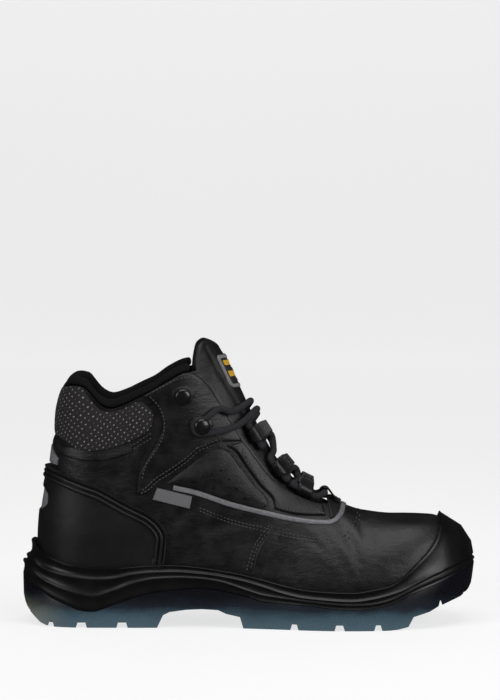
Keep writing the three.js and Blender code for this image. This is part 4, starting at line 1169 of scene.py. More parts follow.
@dataclass
class Sole:
    """The moulded foam with its guard over the toe, and the lugged rubber under it."""

    side_margin: float = 6.0
    rim: float = 3.0
    outsole_wall: float = 3.2
    lug: float = 3.8
    skin: float = 2.0
    taper: float = 0.004
    flare: float = 2.7
    gap: float = 0.3
    channel: float = 17.0
    channel_half: float = 2.0
    stagger: float = -0.03
    steps: int = 30
    flank_steps: int = 110

    def __post_init__(self) -> None:
        """Reads the lines round the sole; each row starts with its place along the foot."""
        lines = curves("""
            -0.043 0.581 0.648 0.452 1.143, -0.02 0.633 0.617 0.348 0.946, 0.004 0.488 0.623 0.325 0.85,
            0.03 0.407 0.681 0.365 0.696, 0.066 0.33 0.732 0.372 0.546, 0.1 0.293 0.752 0.379 0.414,
            0.126 0.277 0.747 0.349 0.393, 0.174 0.267 0.74 0.397 0.546, 0.22 0.293 0.78 0.488 0.711,
            0.27 0.32 0.77 0.511 0.857, 0.32 0.326 0.76 0.506 0.911, 0.375 0.31 0.739 0.478 0.95,
            0.42 0.298 0.742 0.46 0.914, 0.49 0.279 0.729 0.329 0.764, 0.53 0.263 0.7 0.31 0.657,
            0.57 0.233 0.6 0.29 0.629, 0.63 0.212 0.5 0.257 0.593, 0.735 0.202 0.5 0.24 0.514,
            0.783 0.23 0.525 0.22 0.536, 0.825 0.251 0.565 0.24 0.614, 0.855 0.342 0.423 0.2 0.75,
            0.89 0.505 0.337 0.16 0.907, 0.93 0.73 0.286 0.13 1.046, 0.95 1 0.195 0.085 1.12,
            0.96 1.7 0.115 0.05 1.155, 1.03 1.7 0.104 0.046 1.41""")
        self.lines = dict(zip(("lip", "rib", "wave", "parting"), lines))
        (self.floor_level,) = curves("""
            -0.05 0.52, -0.03 0.46, 0 0.33, 0.05 0.27, 0.25 0.27, 0.28 0.4, 0.31 0.56, 0.4 0.6, 0.45 0.5,
            0.48 0.36, 0.52 0.27, 0.83 0.27, 0.88 0.45, 0.92 0.56, 0.96 0.72, 1 0.85, 1.03 1.07""")
        self.tread = numbers("""
            -0.06 1, -0.043 0.714, -0.036 0.5, -0.027 0.34, -0.012 0.2, 0.002 0.08, 0.016 0.025, 0.035 0,
            0.279 0, 0.293 0.3, 0.308 0.375, 0.346 0.43, 0.384 0.45, 0.4225 0.43, 0.4416 0.34, 0.474 0.27,
            0.482 0, 0.824 0, 0.845 0.018, 0.869 0.07, 0.881 0.3, 0.9195 0.4, 0.9386 0.5, 0.977 0.625,
            0.996 0.68, 1.015 0.8, 1.0246 0.93, 1.029 1.14, 1.07 2.2""")
        self.grooves = numbers("""
            0.021 0.036, 0.088 0.114, 0.1835 0.21, 0.592 0.611, 0.695 0.719, 0.788 0.807, 0.941 0.95""")

    def margin(self, u: Array) -> Array:
        """How far the sole stands out from the last."""
        around = np.sin(np.clip(np.where(u < 0, -u, u - 1), 0, 1) * QUARTER) ** 2
        back = mix(self.side_margin, LAST.back_margin, around)
        toe = mix(self.side_margin, LAST.toe_margin, around)
        return np.where(u < 0, back, np.where(u > 1, toe, self.side_margin))

    def lip_out(self, u: Array) -> Array:
        """How far the lip stands out from the last."""
        around = np.sin(np.clip(-u, 0, 1) * QUARTER) ** 2
        return self.rim + self.flare * around

    def heights(self, along: Array) -> dict[str, Array]:
        """The heights of the lines round the sole."""
        lip = LAST.bed_at(along) + LAST.toe_height * self.lines["lip"](along)
        parting = LAST.bed * self.lines["parting"](along)
        return {
            "lip": lip,
            "parting": parting,
            "rib": mix(parting, lip, self.lines["rib"](along)),
            "wave": mix(parting, lip, self.lines["wave"](along)),
        }

    def line(self, name: str, way: float = 0.0, drop: float = 0.0) -> Callable[[Array], Array]:
        """The height of a line round the sole.

        Args:
            name: The line.
            way: The share of the way on to the next line up.
            drop: How far under that the height lies.

        Returns:
            A function that gives the height at places along the foot.
        """
        following = {"parting": "wave", "wave": "rib", "rib": "lip", "lip": "lip"}[name]

        def height(along: Array) -> Array:
            """The height at places along the foot."""
            heights = self.heights(along)
            return mix(heights[name], heights[following], way) - drop

        return height

    def lug_ends(self, along: Array) -> Array:
        """The height from which the lugs are cut."""
        return np.full_like(along, -self.lug)

    def on_line(self, u: Array, side: Array, line: Callable[[Array], Array], distance: Array) -> Array:
        """Points outside the last at the height of a line; below the bed they drop straight down."""
        foot = LAST.outside(u, side, np.zeros_like(u), distance)
        foot_z = line(LAST.along(foot[:, 0]))

        def above(rise: Array) -> Array:
            """How far a section lies above the line."""
            p = LAST.outside(u, side, rise, distance)
            return p[:, 2] - line(LAST.along(p[:, 0]))

        up = LAST.outside(u, side, LAST.rise_where(u.shape, above), distance)
        low = foot.copy()
        low[:, 2] = foot_z
        return np.where((foot[:, 2] >= foot_z)[:, None], low, up)

    def foam(self) -> bpy.types.Object:
        """Makes the foam and the guard over the toe."""
        u = stations(self.steps, self.flank_steps)
        edge, lip = self.margin(u), self.lip_out(u)
        places = [(self.line("parting"), edge - self.outsole_wall)]
        for name, text in FOAM_PROFILE.items():
            for way, share, swell in numbers(text):
                places.append((self.line(name, way), mix(lip, edge, share) + swell))
        places += [(self.line("lip", drop=-0.15), lip * inward) for inward in (0.72, 0.35, -0.1)]
        places.append((self.line("lip", drop=2.5), np.full_like(lip, -0.4)))
        points, faces = [], []
        start = 0
        for side in (-1.0, 1.0):
            sides = np.full(len(u), side)
            grid = np.stack([self.on_line(u, sides, line, distance) for line, distance in places], axis=1)
            points.append(grid.reshape(-1, 3))
            faces += sheet_faces(len(u), grid.shape[1], side > 0, start=start)
            start += grid.shape[0] * grid.shape[1]
        foam = make_object("foam_midsole", np.concatenate(points), faces)
        weld(foam, 0.02, 60)
        return dress(foam, FOAM, "midsole_rubber", "midsole")

    def ground(self, along: float) -> float:
        """The height of the tread's underside."""
        return float(LAST.bed * np.interp(along, *self.tread.T))

    def channel_line(self) -> list[tuple[float, float]]:
        """The upper edge of a channel along the tread: a lug's height up, but never into the skin."""
        pairs = []
        for a in self.tread[:, 0]:
            z = self.ground(a)
            roof = LAST.bed * float(self.floor_level(a)) - self.skin
            pairs.append((a, max(z, min(z + self.lug, roof))))
        return pairs

    def groove_line(self, shift: float) -> list[tuple[float, float]]:
        """The ground line with its grooves, which a shift moves along the foot."""
        cuts = self.grooves + shift
        pairs = [(a, self.ground(a)) for a in self.tread[:, 0] if not any(s < a < e for s, e in cuts)]
        for s, e in cuts:
            pairs += [(a, self.ground(a)) for a in (s, e)]
            pairs += [(a, self.ground(a) + self.lug) for a in (s + self.taper, e - self.taper)]
        return pairs

    def cutter(
        self, name: str, pairs: list[tuple[float, float]], low: float, high: float
    ) -> bpy.types.Object:
        """A prism under the tread.

        Args:
            name: The object's name.
            pairs: Its upper edge, as places along the foot and heights.
            low: Where it starts across the foot.
            high: Where it ends.

        Returns:
            The prism.
        """
        line = [(LAST.x(a), z) for a, z in sorted(pairs)]
        line = [(line[0][0], -LAST.bed), *line, (line[-1][0], -LAST.bed)]
        count = len(line)
        points = [(x, y, z) for y in (low, high) for x, z in line]
        faces = [tuple(range(count)), tuple(range(2 * count - 1, count - 1, -1))]
        faces += [(i, i + count, (i + 1) % count + count, (i + 1) % count) for i in range(count)]
        made = make_object(name, np.array(points), faces)
        weld(made, 0.001)
        return made

    def tray(self) -> bpy.types.Object:
        """Makes the rubber's tray with its wavy wall, still uncut."""
        u = stations(self.steps, self.flank_steps)
        edge = self.margin(u)
        grids = []
        for side in (-1.0, 1.0):
            sides = np.full(len(u), side)
            outer = self.on_line(u, sides, self.line("parting"), edge)
            outer[:, 2] -= self.gap
            low = self.on_line(u, sides, self.lug_ends, edge - self.gap)
            inner = LAST.outside(u, sides, np.zeros_like(u), edge - self.outsole_wall)
            top, floor = inner.copy(), inner.copy()
            top[:, 2] = outer[:, 2]
            floor[:, 2] = LAST.bed * self.floor_level(LAST.along(inner[:, 0]))
            grids.append(np.stack([low, mix(low, outer, 0.5), outer, top, floor], axis=1))
        count, rows = grids[0].shape[:2]
        far = count * rows
        faces = sheet_faces(count, rows) + sheet_faces(count, rows, True, start=far)
        for row, flip in ((0, True), (rows - 1, False)):
            for a in range(row, far - rows, rows):
                quad = (a, a + rows, a + rows + far, a + far)
                faces.append(quad[::-1] if flip else quad)
        tray = make_object("lugged_rubber", np.concatenate([grid.reshape(-1, 3) for grid in grids]), faces)
        weld(tray, 0.02)
        return tray

    def rubber(self) -> bpy.types.Object:
        """Makes the rubber: a tray cut into lugs."""
        tray = self.tray()
        near, half = self.channel, self.channel_half
        plain, shifted, channel = self.groove_line(0.0), self.groove_line(self.stagger), self.channel_line()
        cuts = [
            self.cutter("cut_lateral", plain, -LAST.ball, -near),
            self.cutter("cut_middle", shifted, -near, near),
            self.cutter("cut_medial", plain, near, LAST.ball),
            self.cutter("cut_channel_lateral", channel, -near - half, -near + half),
            self.cutter("cut_channel_medial", channel, near - half, near + half),
        ]
        for cut in cuts:
            change = tray.modifiers.new(cut.name, "BOOLEAN")
            change.operation = "DIFFERENCE"
            change.solver = "EXACT"
            change.object = cut
        bevel = tray.modifiers.new("edges", "BEVEL")
        bevel.width = 0.7 * MM
        bevel.segments = 2
        bevel.limit_method = "ANGLE"
        bevel.angle_limit = math.radians(35)
        bpy.context.view_layer.update()
        solved = tray.evaluated_get(bpy.context.evaluated_depsgraph_get())
        mesh = bpy.data.meshes.new_from_object(solved)
        tray.modifiers.clear()
        tray.data = mesh
        for cut in cuts:
            bpy.data.objects.remove(cut)
        tray.data.shade_smooth()
        sharpen(tray, 32)
        return dress(tray, Outsole(), "outsole_rubber", "outsole")


@dataclass
class Patch:
    """A piece cut from a flat outline and laid on the wall, with a rounded edge.

    The outline lies on the unrolled wall. A mirrored patch wraps round the heel.
    """

    name: str
    outline: Array
    thickness: float
    side: Side | None = None
    round: float = 1.2
    base: float = 0.0
    puff: float = 0.0
    puff_reach: float = 14.0
    grid: float = 2.4
    corner: float = 52.0
    holes: Sequence[Array] = ()
    ring_depths: Sequence[float] = ()
    relief: Callable[[Array, Array], Array] | None = None
    foot: float = -0.35
    on_edge: float = 0.01

    def edge(self) -> Array:
        """The outline's dense closed chain of points."""
        flat = DOMAIN.unroll(self.outline)
        if self.side is not None:
            line = smooth_line(flat, True, corner=self.corner)
            return line * (self.side.value, 1)
        half = smooth_line(flat, False, corner=self.corner)
        if np.hypot(*(half[0] - half[-1])) < 1e-6:
            half = half[:-1]
        mirror = (half * (-1, 1))[::-1]
        keep = mirror[np.abs(mirror[:, 0]) > 0.3]
        return np.concatenate([half, keep])

    def mesh(self) -> bpy.types.Object:
        """Makes the piece."""
        edge = self.edge()
        loops = [edge, *self.holes]
        if signed_area(edge) < 0:
            edge = edge[::-1]
            loops[0] = edge
        rings = []
        for number, loop in enumerate(loops):
            ahead = np.roll(loop, -1, axis=0) - np.roll(loop, 1, axis=0)
            inward = unit(np.stack([-ahead[:, 1], ahead[:, 0]], axis=-1))
            turn = 1.0 if (signed_area(loop) > 0) == (number == 0) else -1.0
            depths = (2 * self.on_edge, 0.25 * self.round, 0.6 * self.round, self.round, *self.ring_depths)
            rings += [loop + inward * depth * turn for depth in depths]
        low, high = edge.min(0) - self.grid, edge.max(0) + self.grid
        xs = np.arange(low[0], high[0], self.grid)
        zs = np.arange(low[1], high[1], self.grid * 0.87)
        lattice = np.array([(x + (j % 2) * self.grid / 2, z) for j, z in enumerate(zs) for x in xs])
        inner = lattice[within(lattice, loops)]
        deepest = max(self.round, *self.ring_depths, 0)
        inner = inner[self.gap(inner, loops) > deepest + self.grid * 0.4]
        extra = np.concatenate(rings)
        extra = extra[within(extra, loops) & (self.gap(extra, loops) > 1.2 * self.on_edge)]
        points = np.concatenate([*loops, extra, inner])
        links, start = [], 0
        for loop in loops:
            count = len(loop)
            links += [(start + i, start + (i + 1) % count) for i in range(count)]
            start += count
        made = geometry.delaunay_2d_cdt([Vector(q) for q in points.tolist()], links, [], 0, 1e-4)
        flat = np.array([tuple(q) for q in made[0]])
        faces = np.array([f for f in made[2] if len(f) == 3])
        faces = faces[within(flat[faces].mean(axis=1), loops)]
        gap = self.gap(flat, loops)
        share = np.clip(gap / self.round, 0, 1)
        height = self.thickness * np.sqrt(np.clip(1 - (1 - share) ** 2, 0, 1))
        height = np.where(gap < self.on_edge, self.foot, height)
        height = height + self.puff * (1 - np.exp(-gap / self.puff_reach * 2)) * (gap >= self.on_edge)
        if self.relief is not None:
            height = height + self.relief(flat, gap) * smooth(0, self.round, gap)
        solid = DOMAIN.wrap(flat, self.base + height)
        thing = make_object(self.name, solid, faces.tolist(), flat)
        face_outward(thing)
        sharpen(thing, 55)
        return thing

    def gap(self, points: Array, loops: Sequence[Array]) -> Array:
        """How far points lie from the piece's edges."""
        return np.min([distance_to(points, loop, True) for loop in loops], axis=0)


def signed_area(line: Array) -> float:
    """Twice the area of a closed chain, positive where it runs anticlockwise."""
    ahead = np.roll(line, -1, axis=0)
    return float((line[:, 0] * ahead[:, 1] - ahead[:, 0] * line[:, 1]).sum())


def face_outward(thing: bpy.types.Object) -> None:
    """Turns an open piece's faces away from the boot's middle line."""
    mesh = thing.data
    turned = 0.0
    for polygon in mesh.polygons:
        out = Vector((polygon.center.x * 0.2, polygon.center.y, 0))
        turned += polygon.normal.dot(out) * polygon.area
    if turned < 0:
        mesh.flip_normals()
    mesh.shade_smooth()


# Outlines on the wall in the side view: rows of along and level.
COUNTER_EDGE = numbers("""
    -0.06 0.588, 0.014 0.588, 0.045 0.573, 0.126 0.506, 0.212 0.414, 0.265 0.355, 0.291 0.302, 0.303 0.25,
    0.301 0.158, 0.297 0.09""")
STRIP = numbers("""
    -0.06 0.69, 0.02 0.69, 0.034 0.66, 0.045 0.63, 0.043 0.595, 0.014 0.603, -0.06 0.603""")
CUFF = numbers("""
    -0.06 0.97, 0.045 0.972, 0.078 1, 0.1 1, 0.118 0.95, 0.145 0.885, 0.17 0.872, 0.2 0.89, 0.235 0.925,
    0.255 0.91, 0.271 0.86, 0.262 0.79, 0.212 0.721, 0.155 0.68, 0.097 0.68, 0.059 0.726, 0.03 0.75,
    -0.06 0.755""")
QUARTER_EDGE = numbers("""
    0.246 0.957, 0.29 1.01, 0.315 1.04, 0.344 1.07, 0.365 1.065, 0.45 1.1, 0.48 0.75, 0.427 0.716,
    0.372 0.67, 0.344 0.624, 0.305 0.563, 0.274 0.525, 0.25 0.46, 0.231 0.46, 0.236 0.552, 0.255 0.634,
    0.279 0.721, 0.293 0.798, 0.284 0.88, 0.262 0.935""")
EYESTAY = numbers("""
    0.442 0.7, 0.48 0.732, 0.56 0.74, 0.655 0.5, 0.668 0.42, 0.676 0.343, 0.604 0.352, 0.556 0.38,
    0.553 0.42, 0.52 0.501, 0.486 0.6, 0.462 0.672""")
PANEL = numbers("""
    0.3 0.511, 0.32 0.548, 0.353 0.598, 0.382 0.645, 0.424 0.688, 0.448 0.668, 0.475 0.593, 0.506 0.506,
    0.535 0.44, 0.54 0.4, 0.523 0.385, 0.494 0.399, 0.427 0.443, 0.365 0.489, 0.322 0.508""")
TAG = numbers("""
    0.279 0.492, 0.362 0.448, 0.356 0.385, 0.268 0.432""")


def throat_side(outline: Array, clear: float = 0.6) -> Array:
    """Pulls the points of an outline that lie in the throat back to just clear of its edge."""
    fixed = []
    for along, level in outline:
        edge = LAST.spot(along, -1.0, LAST.throat_gap(along) + clear, 0.0)
        limit = (float(edge[2]) - LAST.bed) / LAST.height
        fixed.append((along, min(level, limit) if along > LAST.throat_top else level))
    return np.array(fixed)


@dataclass
class Overlays:
    """What is sewn or moulded onto the wall."""

    leather: float = 1.9
    ribs: int = 3
    rib_pitch: float = 3.1
    rib_width: float = 2.0
    rib_height: float = 1.5
    window_level: float = 0.418
    window_half: tuple[float, float] = (21.0, 7.5)

    def counter_relief(self, flat: Array, gap: Array) -> Array:
        """The ribs along the counter's edge."""
        line = smooth_line(DOMAIN.unroll(COUNTER_EDGE), False)
        depth = distance_to(np.abs(flat * (1, 0)) + flat * (0, 1), line, False)
        ribs = np.zeros(len(flat))
        for i in range(self.ribs):
            at = self.rib_width / 2 + i * self.rib_pitch
            offset = np.abs(depth - at)
            ribs += self.rib_height * np.sqrt(np.clip(1 - (offset / (self.rib_width * 0.58)) ** 2, 0, 1))
        return ribs

    def counter(self) -> bpy.types.Object:
        """Makes the moulded heel counter."""
        bottom = numbers("0.297 0.07, 0.2 0.06, 0.1 0.06, 0.03 0.09, -0.06 0.12")
        outline = np.concatenate([COUNTER_EDGE, bottom])
        wide, tall = self.window_half
        angle = np.linspace(0, 2 * math.pi, 48, endpoint=False)
        hole = np.stack([wide * np.cos(angle), LAST.z(self.window_level) + tall * np.sin(angle)], axis=-1)
        piece = Patch(
            "heel_counter_moulded", outline, 2.2, round=1.0, grid=1.9, holes=[hole],
            ring_depths=np.arange(1.5, 9.4, 0.55).tolist(), relief=self.counter_relief,
        )
        return dress(piece.mesh(), COUNTER_PLASTIC, "counter_plastic", "heel_counter")

    def window(self) -> bpy.types.Object:
        """Makes the reflector in the counter's window."""
        flat = numbers("-0.06 0.36, -0.02 0.36, 0.02 0.36, 0.02 0.475, -0.02 0.475, -0.06 0.475")
        piece = Patch("heel_reflector", flat, 0.9, round=0.8)
        return dress(piece.mesh(), Reflective(), "reflective_tape", "heel_window")

    def strip(self) -> bpy.types.Object:
        """Makes the reflector above the counter."""
        piece = Patch("heel_reflector_strip", STRIP, 1.1, round=0.6)
        return dress(piece.mesh(), Reflective(), "reflective_tape", "heel_strip")

    def cuff(self) -> bpy.types.Object:
        """Makes the padded mesh collar."""
        piece = Patch("mesh_collar", CUFF, 0.8, round=1.0, puff=3.2, puff_reach=13, grid=1.8)
        thing = dress(piece.mesh(), DottedMesh(), "mesh_fabric", "collar_cuff")
        return thing

    def side_pieces(self, side: Side) -> None:
        """Makes the leathers and the tag of one side."""
        label = side.label
        quarter = Patch(f"quarter_leather_{label}", throat_side(QUARTER_EDGE), self.leather, side)
        dress(quarter.mesh(), LEATHER, "upper_leather", f"quarter_{label}")
        eyestay = Patch(f"eyestay_leather_{label}", throat_side(EYESTAY), self.leather, side)
        dress(eyestay.mesh(), LEATHER, "upper_leather", f"eyestay_{label}")
        fold = self.pad_fold
        panel = Patch(f"ankle_pad_{label}", PANEL, 0.5, side, puff=2.2, puff_reach=16, grid=1.6, relief=fold)
        thing = dress(panel.mesh(), PANEL_LEATHER, "panel_leather", f"ankle_panel_{label}")
        tag = Patch(f"side_tape_{label}", TAG, 1.3, side, round=0.5, corner=40)
        dress(tag.mesh(), TAG_CLOTH, "tag_fabric", f"side_tag_{label}")

    def pad_fold(self, flat: Array, gap: Array) -> Array:
        """The fold that runs through the ankle pad."""
        start, end = DOMAIN.unroll(numbers("0.33 0.53, 0.43 0.6"))
        run = unit(end - start)
        away = (flat * (0, 1) + np.abs(flat * (1, 0))) - start
        off = away[:, 1] * run[0] - away[:, 0] * run[1]
        return 0.5 * bump(off, 5.0)

    def build(self) -> None:
        """Makes every overlay."""
        self.counter()
        self.window()
        self.strip()
        self.cuff()
        for side in Side:
            self.side_pieces(side)


def follow(points: Array, step: float, closed: bool = False) -> Array:
    """Points at an even step along a smooth curve through a few points in space.

    Args:
        points: The points to pass through.
        step: The distance between new points.
        closed: Whether the curve joins its own start.

    Returns:
        The new points.
    """
    points = np.asarray(points, float)
    if closed:
        points = np.concatenate([points[-2:], points, points[:3]])
    else:
        first, last = points[0] * 2 - points[1], points[-1] * 2 - points[-2]
        points = np.concatenate([[first], points, [last]])
    dense = []
    for i in range(1, len(points) - 2):
        a, b, c, d = points[i - 1 : i + 3]
        spans = [max(np.linalg.norm(q - p), 1e-6) ** 0.5 for p, q in ((a, b), (b, c), (c, d))]
        knots = np.cumsum([0, *spans])
        t = np.linspace(knots[1], knots[2], 24, endpoint=False)[:, None]
        ab = mix(a, b, t / knots[1])
        bc = mix(b, c, (t - knots[1]) / (knots[2] - knots[1]))
        cd = mix(c, d, (t - knots[2]) / (knots[3] - knots[2]))
        abc = mix(ab, bc, t / knots[2])
        bcd = mix(bc, cd, (t - knots[1]) / (knots[3] - knots[1]))
        dense.append(mix(abc, bcd, (t - knots[1]) / (knots[2] - knots[1])))
    dense = np.concatenate(dense[1:-1] if closed else [*dense, [points[-2]]])
    if closed:
        dense = np.concatenate([dense, dense[:1]])
    length = travel(dense)
    count = max(2, round(length[-1] / step))
    at = np.linspace(0, length[-1], count + 1)
    made = np.stack([np.interp(at, length, dense[:, k]) for k in range(dense.shape[1])], axis=-1)
    return made[:-1] if closed else made


def closed_tube(name: str, path: Array, radius: float, around: int = 14) -> bpy.types.Object:
    """A round cord along a closed path, with a map that runs round it and along it.

    Args:
        name: The object's name.
        path: The middle line, whose last point joins its first.
        radius: The cord's radius.
        around: How many corners its section has.

    Returns:
        The cord.
    """
    path = np.concatenate([path, path[:1]])
    run = unit(np.gradient(path, axis=0))
    run[0] = run[-1] = unit(path[1] - path[-2])
    frame = [unit(np.cross(run[0], (0.31, 0.17, 0.93)))]
    for direction in run[1:]:
        frame.append(unit(frame[-1] - direction * (frame[-1] @ direction)))
    first = np.array(frame)
    other = np.cross(run[-1], first[-1])
    twist = math.atan2(first[0] @ other, first[0] @ first[-1])
    turn = (np.arange(len(path)) / (len(path) - 1) * twist)[:, None]
    first = first * np.cos(turn) + np.cross(run, first) * np.sin(turn)
    second = np.cross(run, first)
    angle = np.linspace(0, 2 * math.pi, around + 1)
    ring = first[:, None] * np.cos(angle)[None, :, None] + second[:, None] * np.sin(angle)[None, :, None]
    uv = np.stack(np.broadcast_arrays(angle[None] * radius, travel(path)[:, None]), axis=-1)
    thing = make_object(name, path[:, None] + ring * radius, sheet_faces(len(path), around + 1), uv)
    weld(thing, 0.01)
    return thing


@dataclass
class Strip:
    """A narrow band that follows a line on the wall, and may pass over the crest.

    The line's points are an along and a level, and its section runs from the rear edge to the front.
    Its rows are scaled to about millimetres before they are evened out.
    """

    line: str
    section: str
    over: float | None = None
    step: float = 1.2
    scale: tuple[float, float] = (150.0, 45.0)

    def path(self, side: Side) -> Array:
        """The line as rows of place round the foot and rise short of the crest, signed by side."""
        flat = DOMAIN.unroll(numbers(self.line))
        if len(flat) > 2:
            flat = smooth_line(flat, False, step=2.5, corner=80)
        u, _ = DOMAIN.station(flat[:, 0])
        rise = LAST.rise_at_height(u, np.full(len(u), float(side.value)), flat[:, 1])
        return np.stack([u, (QUARTER - rise) * side.value], axis=-1)

    def mesh(self, name: str, side: Side) -> bpy.types.Object:
        """Makes the band on one side, or over both where it passes over the crest."""
        rows = self.path(side)
        if self.over is not None:
            far = self.path(Side.MEDIAL if side is Side.LATERAL else Side.LATERAL)
            rows = np.concatenate([rows, [(LAST.u(self.over), 0.0)], far[::-1]])
        u, share = (follow(rows * self.scale, self.step) / self.scale).T
        sign = np.where(share == 0, 1.0, np.sign(share))
        rise = QUARTER - np.abs(share)
        base = LAST.point(u, sign, rise)
        normal = unit(LAST.normal(u, sign, rise))
        run = unit(np.gradient(base, axis=0))
        across = np.cross(run, normal) * side.value
        profile = numbers(self.section)
        sideways = across[:, None] * profile[None, :, :1]
        points = base[:, None] + sideways + normal[:, None] * profile[None, :, 1:]
        length = travel(base)
        uv = np.stack(np.broadcast_arrays(profile[None, :, 0], length[:, None]), axis=-1)
        thing = make_object(name, points, sheet_faces(len(base), len(profile)), uv)
        face_outward(thing)
        sharpen(thing, 50)
        return thing


def stitch_mesh(
    name: str, places: Array, runs: Array, normals: Array, length: float, radius: float
) -> bpy.types.Object:
    """Many short stitches as one mesh.

    Args:
        name: The object's name.
        places: The middle of each stitch.
        runs: The way each stitch points.
        normals: The way that the surface faces there.
        length: A stitch's length.
        radius: The thread's radius.

    Returns:
        The joined stitches.
    """
    ends = numbers("-0.5 0.15 -0.8, -0.36 0.8 -0.1, 0 1 0.3, 0.36 0.8 -0.1, 0.5 0.15 -0.8")
    around = 6
    angle = np.arange(around) * math.pi / 3
    along, thick, lift = (column[:, None] for column in ends.T)
    parts = (along * length, thick * np.cos(angle) * radius, thick * np.sin(angle) * radius + lift * radius)
    local = np.stack(np.broadcast_arrays(*parts), axis=-1).reshape(-1, 3)
    side = unit(np.cross(normals, runs))
    axes = np.stack([np.cross(side, normals), side, normals], axis=1)
    points = places[:, None] + np.einsum("ij,njk->nik", local, axes)
    one = []
    for i in range(len(ends) - 1):
        for j in range(around):
            a, b = i * around + j, i * around + (j + 1) % around
            one.append((a, b, b + around, a + around))
    starts = np.arange(len(places))[:, None, None] * len(local)
    faces = (np.array(one)[None] + starts).reshape(-1, 4)
    return make_object(name, points, faces.tolist())


# Sewn rows: how far each lies outside the wall, and its line in the side view.
SEAM_ROWS = (
    (1.9, "0.24 0.462, 0.256 0.478, 0.28 0.526, 0.311 0.568, 0.351 0.63, 0.375 0.678"),
    (1.9, "0.243 0.477, 0.252 0.492, 0.276 0.54, 0.307 0.584, 0.347 0.645, 0.371 0.692"),
    (1.9, "0.375 0.678, 0.4 0.7, 0.43 0.722"),
    (1.9, "0.371 0.692, 0.397 0.715, 0.427 0.737"),
    (1.9, "0.468 0.676, 0.492 0.604, 0.524 0.512, 0.55 0.452, 0.561 0.39"),
    (1.9, "0.476 0.684, 0.5 0.612, 0.532 0.52, 0.558 0.46, 0.569 0.396"),
    (1.9, "0.561 0.386, 0.606 0.36, 0.668 0.352"),
    (0.0, "0.686 0.43, 0.691 0.39, 0.694 0.345"),
    (0.0, "0.695 0.432, 0.7 0.392, 0.703 0.347"),
    (0.0, """
        0.377 0.392, 0.451 0.331, 0.542 0.286, 0.605 0.255, 0.665 0.238, 0.712 0.246, 0.742 0.3,
        0.757 0.37"""),
    (0.0, """
        0.377 0.376, 0.451 0.315, 0.542 0.27, 0.605 0.239, 0.667 0.222, 0.719 0.231,
        0.75 0.29, 0.765 0.36"""),
    (0.0, "0.036 0.722, 0.064 0.676, 0.099 0.658, 0.156 0.658, 0.214 0.698, 0.266 0.77"),
    (0.0, "0.036 0.705, 0.064 0.66, 0.099 0.641, 0.156 0.641, 0.218 0.682, 0.27 0.748"),
    (0.0, "0.552 0.3, 0.532 0.25, 0.512 0.18, 0.498 0.08"),
    (0.0, "0.545 0.305, 0.524 0.255, 0.504 0.182, 0.49 0.08"),
    (1.9, """
        0.262 0.955, 0.272 0.935, 0.288 0.89, 0.297 0.82, 0.291 0.74, 0.27 0.66,
        0.252 0.6, 0.245 0.54"""),
    (1.9, "0.268 0.975, 0.3 1.012, 0.33 1.042, 0.36 1.05"),
)
# Cut edges of the leathers, and the pinholes of the ankle pad, in the side view.
LEATHER_EDGES = (
    "0.556 0.296, 0.537 0.248, 0.517 0.18, 0.503 0.06",
    "0.68 0.43, 0.684 0.39, 0.688 0.335",
    "0.03 0.712, 0.06 0.65, 0.099 0.63, 0.156 0.63, 0.223 0.672",
)
PINHOLES = numbers("""
    0.367 0.527, 0.387 0.547, 0.408 0.563, 0.429 0.578, 0.448 0.532, 0.429 0.514, 0.411 0.491,
    0.466 0.486, 0.449 0.455, 0.487 0.435""")


@dataclass
class Seams:
    """The sewn rows and the cut edges of the leathers."""

    pitch: float = 2.5
    stitch: float = 1.75
    thread: float = 0.36
    reach: float = 0.6
    pad_lift: float = 2.45

    def stitches(self, side: Side) -> None:
        """Sews one side."""
        places, runs, normals = [], [], []
        for lift, line in SEAM_ROWS:
            flat = smooth_line(DOMAIN.unroll(numbers(line)), False, step=1.0, corner=80)
            length = travel(flat)
            at = np.arange(self.pitch / 2, length[-1], self.pitch)

            def lay(distance: Array, height: float) -> Array:
                """Points a distance along the row and a height above the wall."""
                spots = [np.interp(distance, length, flat[:, k]) for k in (0, 1)]
                return DOMAIN.wrap(np.stack(spots, axis=-1) * (side.value, 1), height)

            base = lay(at, lift)
            ahead = lay(np.minimum(at + self.reach, length[-1]), lift)
            places.append(base)
            runs.append(unit(ahead - lay(at - self.reach, lift)))
            normals.append(unit(lay(at, lift + 1.0) - base))
        parts = [np.concatenate(part) for part in (places, runs, normals)]
        thing = stitch_mesh(f"stitches_{side.label}", *parts, self.stitch, self.thread)
        dress(thing, Thread(), "upper_leather")

    def pinholes(self, side: Side) -> None:
        """Lays small dark dots of lining cloth on the ankle pad for its pinholes: the lining seen through the
        holes, with painted shade inside them.
        """
        flat = DOMAIN.unroll(PINHOLES) * (side.value, 1)
        base = DOMAIN.wrap(flat, self.pad_lift)
        normal = unit(DOMAIN.wrap(flat, self.pad_lift + 1.0) - base)
        run = unit(np.cross(normal, (0.0, 0.0, 1.0)))
        # Dark matte dots for the holes: partly the black lining under the pad, partly painted shade inside
        # the holes.
        dots = stitch_mesh(f"pinholes_{side.label}", base, run, normal, 1.7, 0.62)
        dress(dots, LINING, "panel_leather")

    def build(self) -> None:
        """Makes the rows and the cut edges of both sides."""
        for side in Side:
            self.stitches(side)
            self.pinholes(side)
            for number, line in enumerate(LEATHER_EDGES, 1):
                edge = Strip(line, "-0.35 -0.3, -0.3 0.45, 0 0.75, 0.7 0.8, 2.4 0.55, 5.5 0.12, 8 -0.2")
                dress(edge.mesh(f"leather_edge_{side.label}_{number}", side), LEATHER, "upper_leather")
        section = "-1.7 -0.3, -1.6 0.7, -1.1 1.05, 0 1.2, 1.1 1.05, 1.6 0.7, 1.7 -0.3"
        line = """
            0.317 0.492, 0.372 0.465, 0.449 0.409, 0.54 0.36, 0.602 0.33, 0.661 0.314, 0.692 0.317,
            0.712 0.348, 0.722 0.399"""
        piping = Strip(line, section, over=0.728)
        dress(piping.mesh("reflective_piping", Side.LATERAL), Reflective(), "reflective_tape", "vamp_piping")


